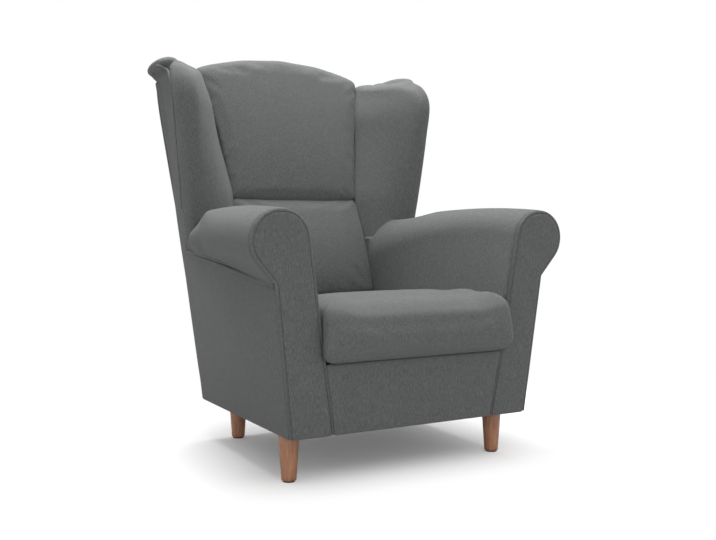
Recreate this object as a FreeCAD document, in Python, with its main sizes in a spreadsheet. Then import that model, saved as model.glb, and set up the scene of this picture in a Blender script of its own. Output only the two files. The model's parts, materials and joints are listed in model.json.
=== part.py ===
import FreeCAD, Part
import math
import os
import Sketcher
from FreeCAD import Placement, Rotation, Vector

# Upholstered wing armchair with rolled arms on four turned legs.
# Millimetres, +Z up, the front towards -Y. The origin lies on the floor, under the middle
# of the overall width and depth. Shapes are drawn with Y = 0 at the seam plane of the front
# apron and moved to the origin by the placement of each sub-part.

doc = FreeCAD.newDocument("WingArmchair")
sheet = doc.addObject("Spreadsheet::Sheet", "Sizes")

# Driving sizes: name, value, meaning. Angles are in degrees, leans are sideways per height.
SIZES = (
    ("overall_depth", 960, "front of the seat cushion to the rear of the back"),
    ("body_half_width", 335, "half the width of the body at its lower edge"),
    ("body_base_front", 120, "height of the lower edge of the covers at the front"),
    ("body_base_rear", 110, "height of the lower edge of the covers at the rear"),
    ("fit_gap", 0.3, "clearance between neighbouring pieces"),
    ("leg_length", 119, "turned leg without its glide"),
    ("leg_top_diameter", 48, "leg where it meets the frame"),
    ("leg_foot_diameter", 33, "leg at the glide"),
    ("leg_edge_break", 1.5, "bevel round the foot"),
    ("glide_thickness", 3, "plastic glide under a leg"),
    ("front_leg_x", 297, "front leg from the middle"),
    ("front_leg_y", 98, "front leg behind the apron seam"),
    ("rear_leg_x", 246, "rear leg from the middle"),
    ("rear_leg_y", 47, "rear leg in front of the rear lower edge"),
    ("bolt_diameter", 8, "hanger bolt of a leg"),
    ("bolt_in_leg", 36, "depth of the bolt in the leg"),
    ("bolt_above_block", 5, "end of the bolt above its block"),
    ("bolt_clearance", 0.15, "radial clearance round a bolt"),
    ("tee_nut_diameter", 22, "flange of the threaded insert"),
    ("tee_nut_flange", 2, "thickness of that flange"),
    ("block_height", 45, "corner block that takes a leg"),
    ("block_reach_along", 76, "corner block from a leg's axis along the chair"),
    ("block_reach_across", 90, "front corner block from a leg's axis towards the middle"),
    ("block_rear_reach", 48, "rear corner block from a leg's axis towards the middle"),
    ("block_tip", 35, "width of a corner block's narrow ends"),
    ("frame_clearance", 2, "room between hidden frame pieces and padding"),
    ("front_setback", 4, "front plane at the lower edge"),
    ("front_lean", 2.4, "forward lean of the front plane"),
    ("arm_inner_x", 222, "inner edge of an arm front at the lower edge"),
    ("scroll_x", 362, "centre of the arm roll from the middle"),
    ("scroll_height", 572, "centre of the arm roll above the floor"),
    ("scroll_radius", 72, "arm roll at the front"),
    ("crease_height", 476, "crease under the arm roll at the front"),
    ("fold_rear_height", 531, "fold under the arm roll at its rear end"),
    ("arm_pad_thickness", 24, "foam and cover on an arm"),
    ("arm_pad_base", 292, "lower edge of the inner arm pad"),
    ("arm_rear_height", 638, "top of the arm where it meets the wing"),
    ("arm_rear_radius", 130, "inner roundness of the arm at the wing"),
    ("arm_rear_waist", 15, "arm's inner face beside the back pads' waist"),
    ("arm_rear_foot", 9, "arm's inner face beside the lower back pad's foot"),
    ("arm_fold_tuck", 3, "how far the fold at the arm's rear end is drawn in"),
    ("facing_thickness", 9, "padded panels of the front"),
    ("piping_radius", 3.5, "welt round the arm front"),
    ("board_thickness", 18, "plywood of the arm fronts and wings"),
    ("cover_thickness", 5, "outer panels of board and fabric"),
    ("side_lean_front", 0.1125, "outward lean of the side at the front"),
    ("side_lean_wing", 0.092, "outward lean of the side at the wing's front"),
    ("side_lean_rear", 0.056, "outward lean of the side at the rear"),
    ("knee_height", 466, "bend of the rear edge"),
    ("knee_y", 224, "rear edge at that bend, in front of its top end"),
    ("rear_base_y", 295, "rear edge at its lower end, in front of its top end"),
    ("post_width", 32, "rear post across the chair"),
    ("post_depth", 62, "rear post along the chair"),
    ("rail_thickness", 22, "solid wood rails"),
    ("rail_height", 156, "rails of the seat frame"),
    ("cross_rail_height", 60, "rails of the back"),
    ("arm_rail_width", 28, "rail inside an arm"),
    ("arm_rail_height", 40, "rail inside an arm"),
    ("arm_rail_base", 528, "underside of the arm rail"),
    ("arm_rail_offset", 12, "arm rail towards the middle from the roll's centre"),
    ("webbing_thickness", 2, "elastic webbing of the back"),
    ("webbing_width", 50, "one strap"),
    ("webbing_pitch", 95, "from strap to strap"),
    ("webbing_end", 15, "end of a strap below the top of the posts"),
    ("waist_height", 690, "seam between the two back pads"),
    ("waist_half_width", 207, "back pads at that seam"),
    ("back_seat_half_width", 235, "lower back pad at the seat"),
    ("shoulder_height", 1066, "where back pad and wing meet at the top"),
    ("shoulder_half_width", 271, "upper back pad there"),
    ("junction_middle", 0.36, "share of that widening at half height"),
    ("back_waist_y", 56, "face of the back at the waist, in front of the rear edge there"),
    ("back_foot_y", 48, "face of the back at the seat, in front of the rear edge there"),
    ("back_rake", 126, "face of the back, rearward from the waist to the arch's top"),
    ("back_crown", 32, "swell of the back pads in their middle"),
    ("seam_pull", 15, "how far the waist seam is pulled in"),
    ("arch_height", 1127, "top of the arched back"),
    ("arch_radius", 900, "arch of the back seen from the front"),
    ("back_top_round", 34, "roundness of the back's upper edge"),
    ("lower_back_swell", 6, "forward curve of the lower back pad, seen from the side"),
    ("upper_back_swell", 5, "forward curve of the upper back pad, seen from the side"),
    ("seam_pull_reach", 60, "height over which the waist seam's pull fades"),
    ("seat_overhang", 52, "swell of the seat in front of the apron"),
    ("seat_base", 288, "underside of the seat cushion"),
    ("seat_nose_height", 352, "height of the seat's foremost line"),
    ("seat_crown_height", 447, "highest line of the seat"),
    ("seat_crown_y", 150, "highest line behind the apron seam"),
    ("seat_lip_drop", 17, "how much lower the seat is where its front roll ends"),
    ("seat_lip_depth", 48, "end of that roll behind the foremost line"),
    ("seat_back_gap", 12, "flat of the seat in front of the back pad"),
    ("seat_rear_height", 409, "seat where the back pad stands on it"),
    ("seat_half_width", 252, "seat cushion in front of the arms"),
    ("seat_rear_y", 274, "rear end of the seat cushion, in front of the rear edge's top end"),
    ("seat_end_round", 22, "roundness of the seat's free ends"),
    ("seat_side_drop", 12, "how much lower the seat is beside the arms"),
    ("cushion_cover", 9, "cover and wadding round a foam core"),
    ("felt_thickness", 4, "insulating felt over the springs"),
    ("felt_front_y", 40, "front edge of the felt behind the apron seam"),
    ("felt_end", 20, "felt's rear edge in front of the seat cushion's"),
    ("spring_wire", 3.6, "zigzag spring wire"),
    ("spring_width", 50, "zigzag spring across"),
    ("spring_pitch", 26, "from turn to turn"),
    ("spring_spacing", 88, "from spring to spring"),
    ("spring_bend", 6, "bend where a spring's straight end begins"),
    ("wing_front_y", 343, "foremost line of a wing, in front of the rear edge's top end"),
    ("wing_front_slope", 0.0887, "wing front, forward per height"),
    ("wing_front_radius", 140, "rounded upper front corner of a wing"),
    ("wing_top_height", 1088, "top of a wing"),
    ("wing_roll", 26, "half thickness of a wing's front edge"),
    ("wing_seam_depth", 46, "ridge seam behind the wing's front"),
    ("wing_board_setback", 8, "wing board behind the ridge seam"),
    ("wing_over_arm", 8, "lower end of the wing panel above the arm"),
    ("wing_crown_tuck", 18, "how far the wing's top is drawn in under the lip"),
    ("wing_lip_radius", 20, "rolled lip along the wing's top"),
    ("wing_lip_x", 405, "centre of that lip from the middle"),
    ("wing_lip_drop", 4, "top of that lip below the wing's top"),
    ("wing_lip_end", 22, "rear end of that lip in front of the rear edge"),
    ("dust_cover_thickness", 1, "cloth under the frame"),
    ("dust_cover_hem", 3, "edge of that cloth inside the outer panels"),
)
for row, (alias, value, meaning) in enumerate(SIZES, start=1):
    sheet.set("A%d" % row, alias.replace("_", " "))
    sheet.set("B%d" % row, str(value))
    sheet.setAlias("B%d" % row, alias)
    sheet.set("C%d" % row, meaning)
doc.recompute()


def size(alias):
    return float(sheet.get(alias))


GAP = size("fit_gap")
COVER = size("cover_thickness")
FRAME_BASE = size("leg_length") + size("glide_thickness")
BASE_FRONT = size("body_base_front")
BASE_REAR = size("body_base_rear")
ORIGIN_Y = size("overall_depth") / 2 - size("seat_overhang")
REAR_TOP_Y = size("overall_depth") - size("seat_overhang")
KNEE_Y = REAR_TOP_Y - size("knee_y")
REAR_BASE_Y = REAR_TOP_Y - size("rear_base_y")
WING_FRONT_Y = REAR_TOP_Y - size("wing_front_y")
SEAT_REAR_Y = REAR_TOP_Y - size("seat_rear_y")
REAR_LEG_Y = REAR_BASE_Y - size("rear_leg_y")
SIDES = (("left", -1), ("right", 1))
REACH = 2 * size("overall_depth")
nodes = []


# Sub-parts

def keep(obj, name):
    obj.Label = name
    nodes.append(obj)
    return obj


def seat_on_origin(obj):
    obj.Placement = Placement(Vector(0, -ORIGIN_Y, 0), Rotation()) * obj.Placement


def solid_node(name, shape):
    obj = doc.addObject("Part::Feature", name)
    obj.Shape = shape
    seat_on_origin(obj)
    return keep(obj, name)


def pair_node(name, shape):
    for side, sign in SIDES:
        piece = shape if sign > 0 else mirrored(shape)
        solid_node(name + "_" + side, piece)


def mirrored(shape):
    return shape.mirror(Vector(0, 0, 0), Vector(1, 0, 0))


def bind(obj, **texts):
    for prop, text in texts.items():
        obj.setExpression(prop.replace("__", "."), text)
    return obj


# Wires and simple solids

def wire_of(edges):
    return Part.Wire(Part.__sortEdges__(edges))


def line(a, b):
    return Part.makeLine(a, b)


def arc(a, middle, b):
    return Part.Arc(a, middle, b).toShape()


def outline_through(points):
    return [line(points[i], points[(i + 1) % len(points)]) for i in range(len(points))]


def prism(points, along):
    return Part.Face(Part.makePolygon(points + [points[0]])).extrude(along)


def loft(wires, ruled=False):
    solid = Part.makeLoft(wires, True, ruled)
    if solid.Volume < 0:
        solid.reverse()
    return solid


def leaned(shape):
    # Drawn upright in front of Y = 0, then set back and leaned forward with the front plane.
    shape = shape.copy()
    shape.rotate(Vector(0, 0, BASE_FRONT), Vector(1, 0, 0), size("front_lean"))
    shape.translate(Vector(0, size("front_setback"), 0))
    return shape


def lean_point(point, share):
    angle = math.radians(size("front_lean")) * share
    rise = point.z - BASE_FRONT
    y = point.y * math.cos(angle) - rise * math.sin(angle)
    z = BASE_FRONT + rise * math.cos(angle) + point.y * math.sin(angle)
    return Vector(point.x, y + size("front_setback") * share, z)


def front_plane_y(z):
    return size("front_setback") - (z - BASE_FRONT) * math.tan(math.radians(size("front_lean")))


def between(a, b, share):
    return a + (b - a) * share


# Surfaces that the whole chair follows

def side_bend_y():
    return KNEE_Y + size("post_depth") + COVER * 6


def side_lean(y):
    wing_y = WING_FRONT_Y + size("wing_seam_depth")
    rear_y = side_bend_y()
    if y < wing_y:
        share = max(0.0, y / wing_y)
        return between(size("side_lean_front"), size("side_lean_wing"), share)
    share = min(1.0, (y - wing_y) / (rear_y - wing_y))
    return between(size("side_lean_wing"), size("side_lean_rear"), share)


def side_x(y, z):
    return size("body_half_width") + side_lean(y) * (z - BASE_FRONT)


def panel_top_height():
    return size("arch_height") - size("back_top_round") / 2


def rear_y(z):
    knee = size("knee_height")
    if z < knee:
        share = (z - BASE_REAR) / (knee - BASE_REAR)
        return between(REAR_BASE_Y, KNEE_Y, share)
    share = (z - knee) / (panel_top_height() - knee)
    return between(KNEE_Y, REAR_TOP_Y, min(1.0, share))


def post_front(z):
    return rear_y(z) - COVER - GAP - size("post_depth")


def rail_front(z):
    return rear_y(z) - COVER - GAP - size("rail_thickness") - GAP


def junction_y(z):
    # Face of the back pads beside the wings and arms, tied to the rear edge.
    waist = size("waist_height")
    at_waist = rear_y(waist) - size("back_waist_y")
    if z < waist:
        foot = size("seat_rear_height")
        at_foot = rear_y(foot) - size("back_foot_y")
        return between(at_foot, at_waist, (z - foot) / (waist - foot))
    return at_waist + size("back_rake") * (z - waist) / (size("arch_height") - waist)


def junction_x(z):
    waist = size("waist_height")
    if z < waist:
        share = (waist - z) / (waist - size("seat_rear_height"))
        return between(size("waist_half_width"), size("back_seat_half_width"), share)
    swell = size("shoulder_half_width") - size("waist_half_width")
    middle = size("waist_half_width") + swell * size("junction_middle")
    turn = junction_turn()
    if z < turn:
        return between(size("waist_half_width"), middle, (z - waist) / (turn - waist))
    share = (z - turn) / (size("shoulder_height") - turn)
    return between(middle, size("shoulder_half_width"), share)


def junction_turn():
    return between(size("waist_height"), size("shoulder_height"), 0.5)


def arch_z(x):
    return size("arch_height") - x * x / (2 * size("arch_radius"))


def side_slab(near, far):
    wing_y = WING_FRONT_Y + size("wing_seam_depth")
    low = 0.0
    high = size("arch_height") + size("back_top_round")
    wires = []
    for y in (-size("seat_overhang"), 0.0, wing_y, side_bend_y(), REAR_TOP_Y + COVER):
        corners = (
            Vector(side_x(y, low) - far, y, low),
            Vector(side_x(y, low) - near, y, low),
            Vector(side_x(y, high) - near, y, high),
            Vector(side_x(y, high) - far, y, high),
        )
        wires.append(Part.makePolygon(list(corners) + [corners[0]]))
    return loft(wires, True)


def rear_slab(near, far):
    heights = (BASE_REAR, size("knee_height"), panel_top_height(), size("arch_height"))
    outer = [Vector(0, rear_y(z) - near, z) for z in heights]
    inner = [Vector(0, rear_y(z) - far, z) for z in reversed(heights)]
    slab = prism(outer + inner, Vector(REACH, 0, 0))
    slab.translate(Vector(-REACH / 2, 0, 0))
    return slab


def side_cut(edges):
    face = Part.Face(wire_of(edges))
    return face.extrude(Vector(REACH, 0, 0))


def front_cut(edges):
    face = Part.Face(wire_of(edges))
    return face.extrude(Vector(0, REACH, 0))


# Keyhole outline of an arm, seen from the front

def polar(centre, radius, angle):
    return Vector(centre.x + radius * math.cos(angle), 0, centre.z + radius * math.sin(angle))


def under_roll(centre, radius, crease):
    # Direction and length of the line from the crease that just touches the roll.
    to_centre = centre - crease
    turn = math.atan2(to_centre.z, to_centre.x) - math.asin(radius / to_centre.Length)
    return turn, math.sqrt(to_centre.Length ** 2 - radius ** 2)


def arm_points(inset, low, crease_rise, y=0):
    centre = Vector(size("scroll_x"), 0, size("scroll_height"))
    full = size("scroll_radius")
    radius = full - inset
    foot = Vector(size("arm_inner_x"), 0, BASE_FRONT)
    to_centre = centre - foot
    heading = math.atan2(to_centre.z, to_centre.x) + math.asin(full / to_centre.Length)
    inner = polar(centre, radius, heading + math.pi / 2)
    drop = (inner.z - low) / math.tan(heading)
    start = Vector(inner.x - drop, 0, low)
    fold_z = size("crease_height") + crease_rise
    fold = Vector(side_x(y, fold_z), 0, fold_z)
    slope = under_roll(centre, full, fold)[0]
    crease = fold + Vector(-inset, 0, inset * (1 - math.sin(slope)) / math.cos(slope))
    turn, reach = under_roll(centre, radius, crease)
    outer = crease + Vector(math.cos(turn), 0, math.sin(turn)) * reach
    first = heading + math.pi / 2
    last = math.atan2(outer.z - centre.z, outer.x - centre.x)
    top = between(first, last, 0.5)
    return {
        "start": start,
        "inner": inner,
        "first": polar(centre, radius, between(first, top, 0.5)),
        "top": polar(centre, radius, top),
        "second": polar(centre, radius, between(top, last, 0.5)),
        "outer": outer,
        "crease": crease,
    }


def upper_edges(points, y):
    at = {key: Vector(p.x, y, p.z) for key, p in points.items()}
    return [
        line(at["start"], at["inner"]),
        arc(at["inner"], at["first"], at["top"]),
        arc(at["top"], at["second"], at["outer"]),
        line(at["outer"], at["crease"]),
    ]


def arm_front_outline(inset, side_inset, low, y):
    # Moved in by one distance round the roll and by another along the outer side.
    points = arm_points(inset, low, 0)
    edges = upper_edges(points, y)
    foot = Vector(side_x(0, low) - side_inset, y, low)
    turn = Vector(points["crease"].x, y, points["crease"].z)
    start = Vector(points["start"].x, y, low)
    if side_inset < inset:
        ledge_z = size("crease_height") - GAP * 12
        ledge = Vector(side_x(0, ledge_z) - side_inset, y, ledge_z)
        edges.append(line(turn, ledge))
        turn = ledge
    return edges + [line(turn, foot), line(foot, start)]


# The arm's rear end: where its inner arc ends, and how its top turns over to the outer side,
# as shares of the height from the fold to the top.
ARM_REAR_TURN = math.radians(95)
ARM_SHOULDER_IN = 0.35
ARM_SHOULDER_DROP = 0.13
ARM_SIDE_SHARE = 0.45


def arm_rear_points(inset, low):
    end = arm_rear_y()
    top_z = size("arm_rear_height") - inset
    radius = size("arm_rear_radius") - inset
    waist_x = size("waist_half_width") + GAP + size("arm_rear_waist") + inset
    foot_x = size("back_seat_half_width") + GAP + size("arm_rear_foot") + inset
    centre = Vector(waist_x + radius, 0, top_z - radius)
    fold = size("fold_rear_height") + inset
    out = side_x(end, fold) - inset
    rolled = top_z - fold
    return {
        "start": Vector(foot_x, 0, low),
        "inner": polar(centre, radius, math.pi),
        "first": polar(centre, radius, between(math.pi, ARM_REAR_TURN, 0.5)),
        "top": polar(centre, radius, ARM_REAR_TURN),
        "second": Vector(out - ARM_SHOULDER_IN * rolled, 0, top_z - ARM_SHOULDER_DROP * rolled),
        "outer": Vector(out, 0, fold + ARM_SIDE_SHARE * rolled),
        "crease": Vector(out - size("arm_fold_tuck"), 0, fold),
    }


def arm_rear_y():
    return post_front(size("fold_rear_height")) - size("frame_clearance")


def arm_front_y():
    return size("facing_thickness") + GAP


# The arm keeps its front section for nearly half its length, then changes to the rear one.
ARM_MIDDLE = 0.45
ARM_MIDDLE_BLEND = 0.12


def arm_stations():
    front = arm_front_y()
    rear = arm_rear_y()
    return ((front, 0.0), (between(front, rear, ARM_MIDDLE), ARM_MIDDLE_BLEND), (rear, 1.0))


def blend_points(a, b, share):
    return {key: between(a[key], b[key], share) for key in a}


def arm_section(inset, low, y, share):
    # The front section lies in the leaning front plane, the rear section upright. The fold
    # under the roll rises evenly from one to the other.
    angle = math.radians(size("front_lean")) * (1 - share)
    base = BASE_FRONT + (low - BASE_FRONT - y * math.sin(angle)) / math.cos(angle)
    points = arm_shape_at(inset, base, y, share)
    turn = points["crease"]
    run = arm_shape_at(0, base, y, share)["crease"] - turn
    reach = turn + run * 3 - Vector(0, 0, GAP)
    points["foot"] = Vector(turn.x, 0, base)
    points["reach"] = reach
    points["reach_foot"] = Vector(reach.x, 0, base)
    placed = {}
    for key, point in points.items():
        placed[key] = lean_point(Vector(point.x, y, point.z), 1 - share)
    return placed


def arm_shape_at(inset, base, y, share):
    if share >= 1:
        return arm_rear_points(inset, base)
    front_y = arm_front_y()
    rise = size("fold_rear_height") - size("crease_height")
    climb = (y - front_y) / (arm_rear_y() - front_y)
    lift = rise * (climb - share) / (1 - share)
    return blend_points(arm_points(inset, base, lift, y), arm_rear_points(inset, base), share)


def placed_edges(at):
    return [
        line(at["start"], at["inner"]),
        arc(at["inner"], at["first"], at["top"]),
        arc(at["top"], at["second"], at["outer"]),
        line(at["outer"], at["crease"]),
    ]


def arm_form():
    # The arm as one closed form, which its neighbours are cut to.
    wires = []
    for y, share in arm_stations():
        at = arm_section(0, size("arm_pad_base"), y, share)
        edges = placed_edges(at) + [line(at["crease"], at["foot"]), line(at["foot"], at["start"])]
        wires.append(Part.Wire(edges))
    return loft(wires)


def arm_hollow():
    # What the arm pad wraps round: the keyhole moved in, widened past the outer side.
    wires = []
    for y, share in arm_stations():
        extra = (share - 0.5) * 2
        at = arm_section(size("arm_pad_thickness"), size("arm_pad_base") - 1, y + extra, share)
        edges = placed_edges(at) + [line(at["crease"], at["reach"])]
        edges += [line(at["reach"], at["reach_foot"]), line(at["reach_foot"], at["start"])]
        wires.append(Part.Wire(edges))
    return loft(wires)


def arm_tail():
    # Behind the arm's end the inner pad runs on beside the back pads, over the seat rail of
    # the back and as far as the webbing's rails reach.
    front = arm_rear_y() - GAP
    thick = size("arm_pad_thickness")
    low = size("seat_rear_height") + size("cross_rail_height") / 2 + GAP
    high = size("arm_rail_base") + size("arm_rail_height")
    heights = sorted({low, max(low, size("knee_height")), high})
    wires = []
    for z in heights:
        near = junction_x(z) + 2 * GAP
        rear = rail_front(z) - GAP
        wires.append(Part.makePolygon([
            Vector(near, front, z), Vector(near + thick, front, z), Vector(near + thick, rear, z),
            Vector(near, rear, z), Vector(near, front, z),
        ]))
    return loft(wires, True)


def arm_pad_shape():
    pad = arm_solid.cut(arm_hollow()).fuse(arm_tail())
    return max(pad.Solids, key=lambda solid: solid.Volume)


# Legs, glides and their fixings

def leg_places():
    for end in ("front", "rear"):
        for side, sign in SIDES:
            yield end, side, sign


ORIGIN_TEXT = "Sizes.overall_depth / 2 - Sizes.seat_overhang"
REAR_TOP_TEXT = "Sizes.overall_depth - Sizes.seat_overhang"
LEG_Y_TEXTS = {
    "front": "Sizes.front_leg_y",
    "rear": REAR_TOP_TEXT + " - Sizes.rear_base_y - Sizes.rear_leg_y",
}
LEG_YS = {"front": size("front_leg_y"), "rear": REAR_LEG_Y}


def leg_body(name, end, sign):
    body = doc.addObject("PartDesign::Body", name)
    sketch = body.newObject("Sketcher::SketchObject", name + "_profile")
    planes = {feature.Role: feature for feature in body.Origin.OriginFeatures}
    sketch.AttachmentSupport = [(planes["XZ_Plane"], "")]
    sketch.MapMode = "FlatFace"
    bore = size("bolt_diameter") / 2 + size("bolt_clearance")
    top = size("leg_top_diameter") / 2
    foot = size("leg_foot_diameter") / 2
    height = size("leg_length")
    depth = size("bolt_in_leg") + 1
    bevel = size("leg_edge_break")
    corners = [
        (0, 0), (foot - bevel, 0), (foot, bevel), (top, height),
        (bore, height), (bore, height - depth), (0, height - depth),
    ]
    count = len(corners)
    for i in range(count):
        a = Vector(corners[i][0], corners[i][1], 0)
        b = Vector(corners[(i + 1) % count][0], corners[(i + 1) % count][1], 0)
        sketch.addGeometry(Part.LineSegment(a, b), False)
    for i in range(count):
        sketch.addConstraint(Sketcher.Constraint("Coincident", i, 2, (i + 1) % count, 1))
    sketch.addConstraint(Sketcher.Constraint("Coincident", 0, 1, -1, 1))
    sketch.addConstraint(Sketcher.Constraint("Horizontal", 0))
    sketch.addConstraint(Sketcher.Constraint("Horizontal", 3))
    sketch.addConstraint(Sketcher.Constraint("Vertical", 4))
    sketch.addConstraint(Sketcher.Constraint("Horizontal", 5))
    sketch.addConstraint(Sketcher.Constraint("Vertical", 6))
    half_foot = "Sizes.leg_foot_diameter / 2"
    rules = (
        ("foot_flat", "DistanceX", (-1, 1, 0, 2), half_foot + " - Sizes.leg_edge_break"),
        ("foot_half", "DistanceX", (-1, 1, 1, 2), half_foot),
        ("foot_bevel", "DistanceY", (-1, 1, 1, 2), "Sizes.leg_edge_break"),
        ("top_half", "DistanceX", (-1, 1, 2, 2), "Sizes.leg_top_diameter / 2"),
        ("length", "DistanceY", (-1, 1, 2, 2), "Sizes.leg_length"),
        ("bore_half", "DistanceX", (-1, 1, 3, 2), "Sizes.bolt_diameter / 2 + Sizes.bolt_clearance"),
        ("bore_floor", "DistanceY", (-1, 1, 4, 2), "Sizes.leg_length - Sizes.bolt_in_leg - 1"),
    )
    values = (foot - bevel, foot, bevel, top, height, bore, height - depth)
    for (label, kind, ends, text), value in zip(rules, values):
        index = sketch.addConstraint(Sketcher.Constraint(kind, *ends, value))
        sketch.renameConstraint(index, label)
        sketch.setExpression("Constraints." + label, text)
    turned = body.newObject("PartDesign::Revolution", name + "_turned")
    turned.Profile = sketch
    turned.ReferenceAxis = (sketch, ["V_Axis"])
    turned.Angle = 360
    body.setExpression("Placement.Base.x", "%d * Sizes.%s_leg_x" % (sign, end))
    body.setExpression("Placement.Base.y", LEG_Y_TEXTS[end] + " - (" + ORIGIN_TEXT + ")")
    body.setExpression("Placement.Base.z", "Sizes.glide_thickness")
    return keep(body, name)


for end, side, sign in leg_places():
    leg_body("leg_%s_%s" % (end, side), end, sign)


def at_legs(name, radius_text, height_text, base_text, bore_text=None):
    pieces = []
    for end, side, sign in leg_places():
        tail = "_%s_%s" % (end, side)
        piece = doc.addObject("Part::Cylinder", name + "_round" + tail)
        bind(piece, Radius=radius_text, Height=height_text)
        if bore_text:
            bore = doc.addObject("Part::Cylinder", name + "_bore" + tail)
            bind(bore, Radius=bore_text, Height=height_text)
            ring = doc.addObject("Part::Cut", name + "_ring" + tail)
            ring.Base = piece
            ring.Tool = bore
            piece = ring
        x_text = "%d * Sizes.%s_leg_x" % (sign, end)
        bind(piece, Placement__Base__x=x_text)
        bind(piece, Placement__Base__y=LEG_Y_TEXTS[end])
        bind(piece, Placement__Base__z=base_text)
        pieces.append(piece)
    group = doc.addObject("Part::Compound", name)
    group.Links = pieces
    seat_on_origin(group)
    return keep(group, name)


FRAME_TEXT = "Sizes.leg_length + Sizes.glide_thickness"
at_legs("leg_glides", "Sizes.leg_foot_diameter / 2 - Sizes.leg_edge_break", "Sizes.glide_thickness", "0")
BOLT_TEXT = "Sizes.bolt_in_leg + Sizes.block_height + Sizes.tee_nut_flange + Sizes.bolt_above_block"
at_legs("leg_bolts", "Sizes.bolt_diameter / 2", BOLT_TEXT, FRAME_TEXT + " - Sizes.bolt_in_leg")
at_legs(
    "leg_tee_nuts",
    "Sizes.tee_nut_diameter / 2",
    "Sizes.tee_nut_flange",
    FRAME_TEXT + " + Sizes.block_height",
    "Sizes.bolt_diameter / 2 + Sizes.bolt_clearance",
)


# Corner blocks: prisms that fill the corners of the seat frame and take the leg bolts

def block_shape(corners, leg_x, leg_y):
    block = prism([Vector(x, y, FRAME_BASE) for x, y in corners], Vector(0, 0, size("block_height")))
    radius = size("bolt_diameter") / 2 + size("bolt_clearance")
    hole = Part.makeCylinder(radius, size("block_height"), Vector(leg_x, leg_y, FRAME_BASE))
    return block.cut(hole)


def front_block():
    back = LEG_YS["front"] + size("block_reach_along")
    front = front_rail_back() + GAP
    out = size("body_half_width") - COVER - GAP - size("rail_thickness") - GAP
    inner = size("front_leg_x") - size("block_reach_across")
    tip = size("block_tip")
    corners = ((out, front), (out, back), (out - tip, back), (inner, front + tip), (inner, front))
    return block_shape(corners, size("front_leg_x"), LEG_YS["front"])


def rear_block():
    out = size("body_half_width") - COVER - GAP - size("post_width") - size("frame_clearance")
    back = rear_y(FRAME_BASE) - COVER - GAP - size("rail_thickness") - GAP
    front = LEG_YS["rear"] - size("block_reach_along")
    inner = size("rear_leg_x") - size("block_rear_reach")
    tip = size("block_tip")
    corners = ((out, back), (inner, back), (inner, back - tip), (out - tip, front), (out, front))
    return block_shape(corners, size("rear_leg_x"), LEG_YS["rear"])


def front_rail_back():
    return size("front_setback") + arm_front_y() + size("rail_thickness")


pair_node("corner_block_front", front_block())
pair_node("corner_block_rear", rear_block())


# Seat frame

def rail_top():
    return FRAME_BASE + size("rail_height")


def front_piece(half_low, half_high, low, high, near, thick):
    corners = [Vector(-half_low, near, low), Vector(half_low, near, low)]
    corners += [Vector(half_high, near, high), Vector(-half_high, near, high)]
    return leaned(prism(corners, Vector(0, thick, 0)))


def board_inset():
    return size("arm_pad_thickness") + 5 * GAP


def arm_edge(inset, z):
    return arm_points(inset, z, 0)["start"].x


solid_node("front_rail", front_piece(
    arm_edge(board_inset(), FRAME_BASE) - GAP, arm_edge(board_inset(), rail_top()) - GAP,
    FRAME_BASE, rail_top(), arm_front_y(), size("rail_thickness")))


def arm_front_board():
    outline = arm_front_outline(board_inset(), COVER + GAP, FRAME_BASE, arm_front_y())
    return leaned(Part.Face(wire_of(outline)).extrude(Vector(0, size("board_thickness"), 0)))


pair_node("arm_front_board", arm_front_board())


def board_back():
    return size("front_setback") + arm_front_y() + size("board_thickness") + GAP


def side_outline(corners):
    return outline_through([Vector(0, y, z) for y, z in corners])


RAIL_NEAR = COVER + GAP


def side_rail():
    outline = side_outline((
        (board_back(), FRAME_BASE), (post_front(FRAME_BASE) - GAP, FRAME_BASE),
        (post_front(rail_top()) - GAP, rail_top()), (board_back(), rail_top())))
    return side_slab(RAIL_NEAR, RAIL_NEAR + size("rail_thickness")).common(side_cut(outline))


def wing_shoulder():
    # Where the wing's top begins to turn over, never above the lip.
    return min(size("shoulder_height"), size("wing_top_height") - size("wing_lip_radius"))


def post_top():
    # The posts end under the shoulder, the arch and the lip, whichever is lowest.
    free = min(wing_shoulder(), arch_z(size("shoulder_half_width")))
    return free - size("wing_lip_radius") - 5 * size("frame_clearance")


def rear_post():
    heights = (FRAME_BASE, size("knee_height"), POST_TOP)
    rear = [(rear_y(z) - RAIL_NEAR, z) for z in heights]
    front = [(post_front(z), z) for z in reversed(heights)]
    slab = side_slab(RAIL_NEAR, RAIL_NEAR + size("post_width"))
    return slab.common(side_cut(side_outline(rear + front)))


POST_TOP = post_top()
pair_node("side_rail", side_rail())
pair_node("rear_post", rear_post())


def post_inner_x(z):
    return side_x(rear_y(z), z) - RAIL_NEAR - size("post_width") - GAP


# How deep the top rail lies inside the back's rounded upper edge.
TOP_RAIL_SHARE = 0.6
RAIL_SLAB = rear_slab(RAIL_NEAR, RAIL_NEAR + size("rail_thickness"))


def back_rail(low, high):
    left, right = [], []
    for z in (low, high):
        x = side_x(post_front(z), z) - RAIL_NEAR - size("post_width") - GAP
        x = min(x, post_inner_x(z))
        left.append(Vector(-x, 0, z))
        right.append(Vector(x, 0, z))
    return RAIL_SLAB.common(front_cut(outline_through([left[0], right[0], right[1], left[1]])))


solid_node("rear_rail", back_rail(FRAME_BASE, rail_top()))
seat_rail_base = size("seat_rear_height") - size("cross_rail_height") / 2
solid_node("back_seat_rail", back_rail(seat_rail_base, seat_rail_base + size("cross_rail_height")))
waist_rail_base = size("waist_height") - size("cross_rail_height") / 2
solid_node("back_waist_rail", back_rail(waist_rail_base, waist_rail_base + size("cross_rail_height")))


def top_rail_z(x):
    return arch_z(x) - size("cushion_cover") - size("back_top_round") * TOP_RAIL_SHARE


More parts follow.
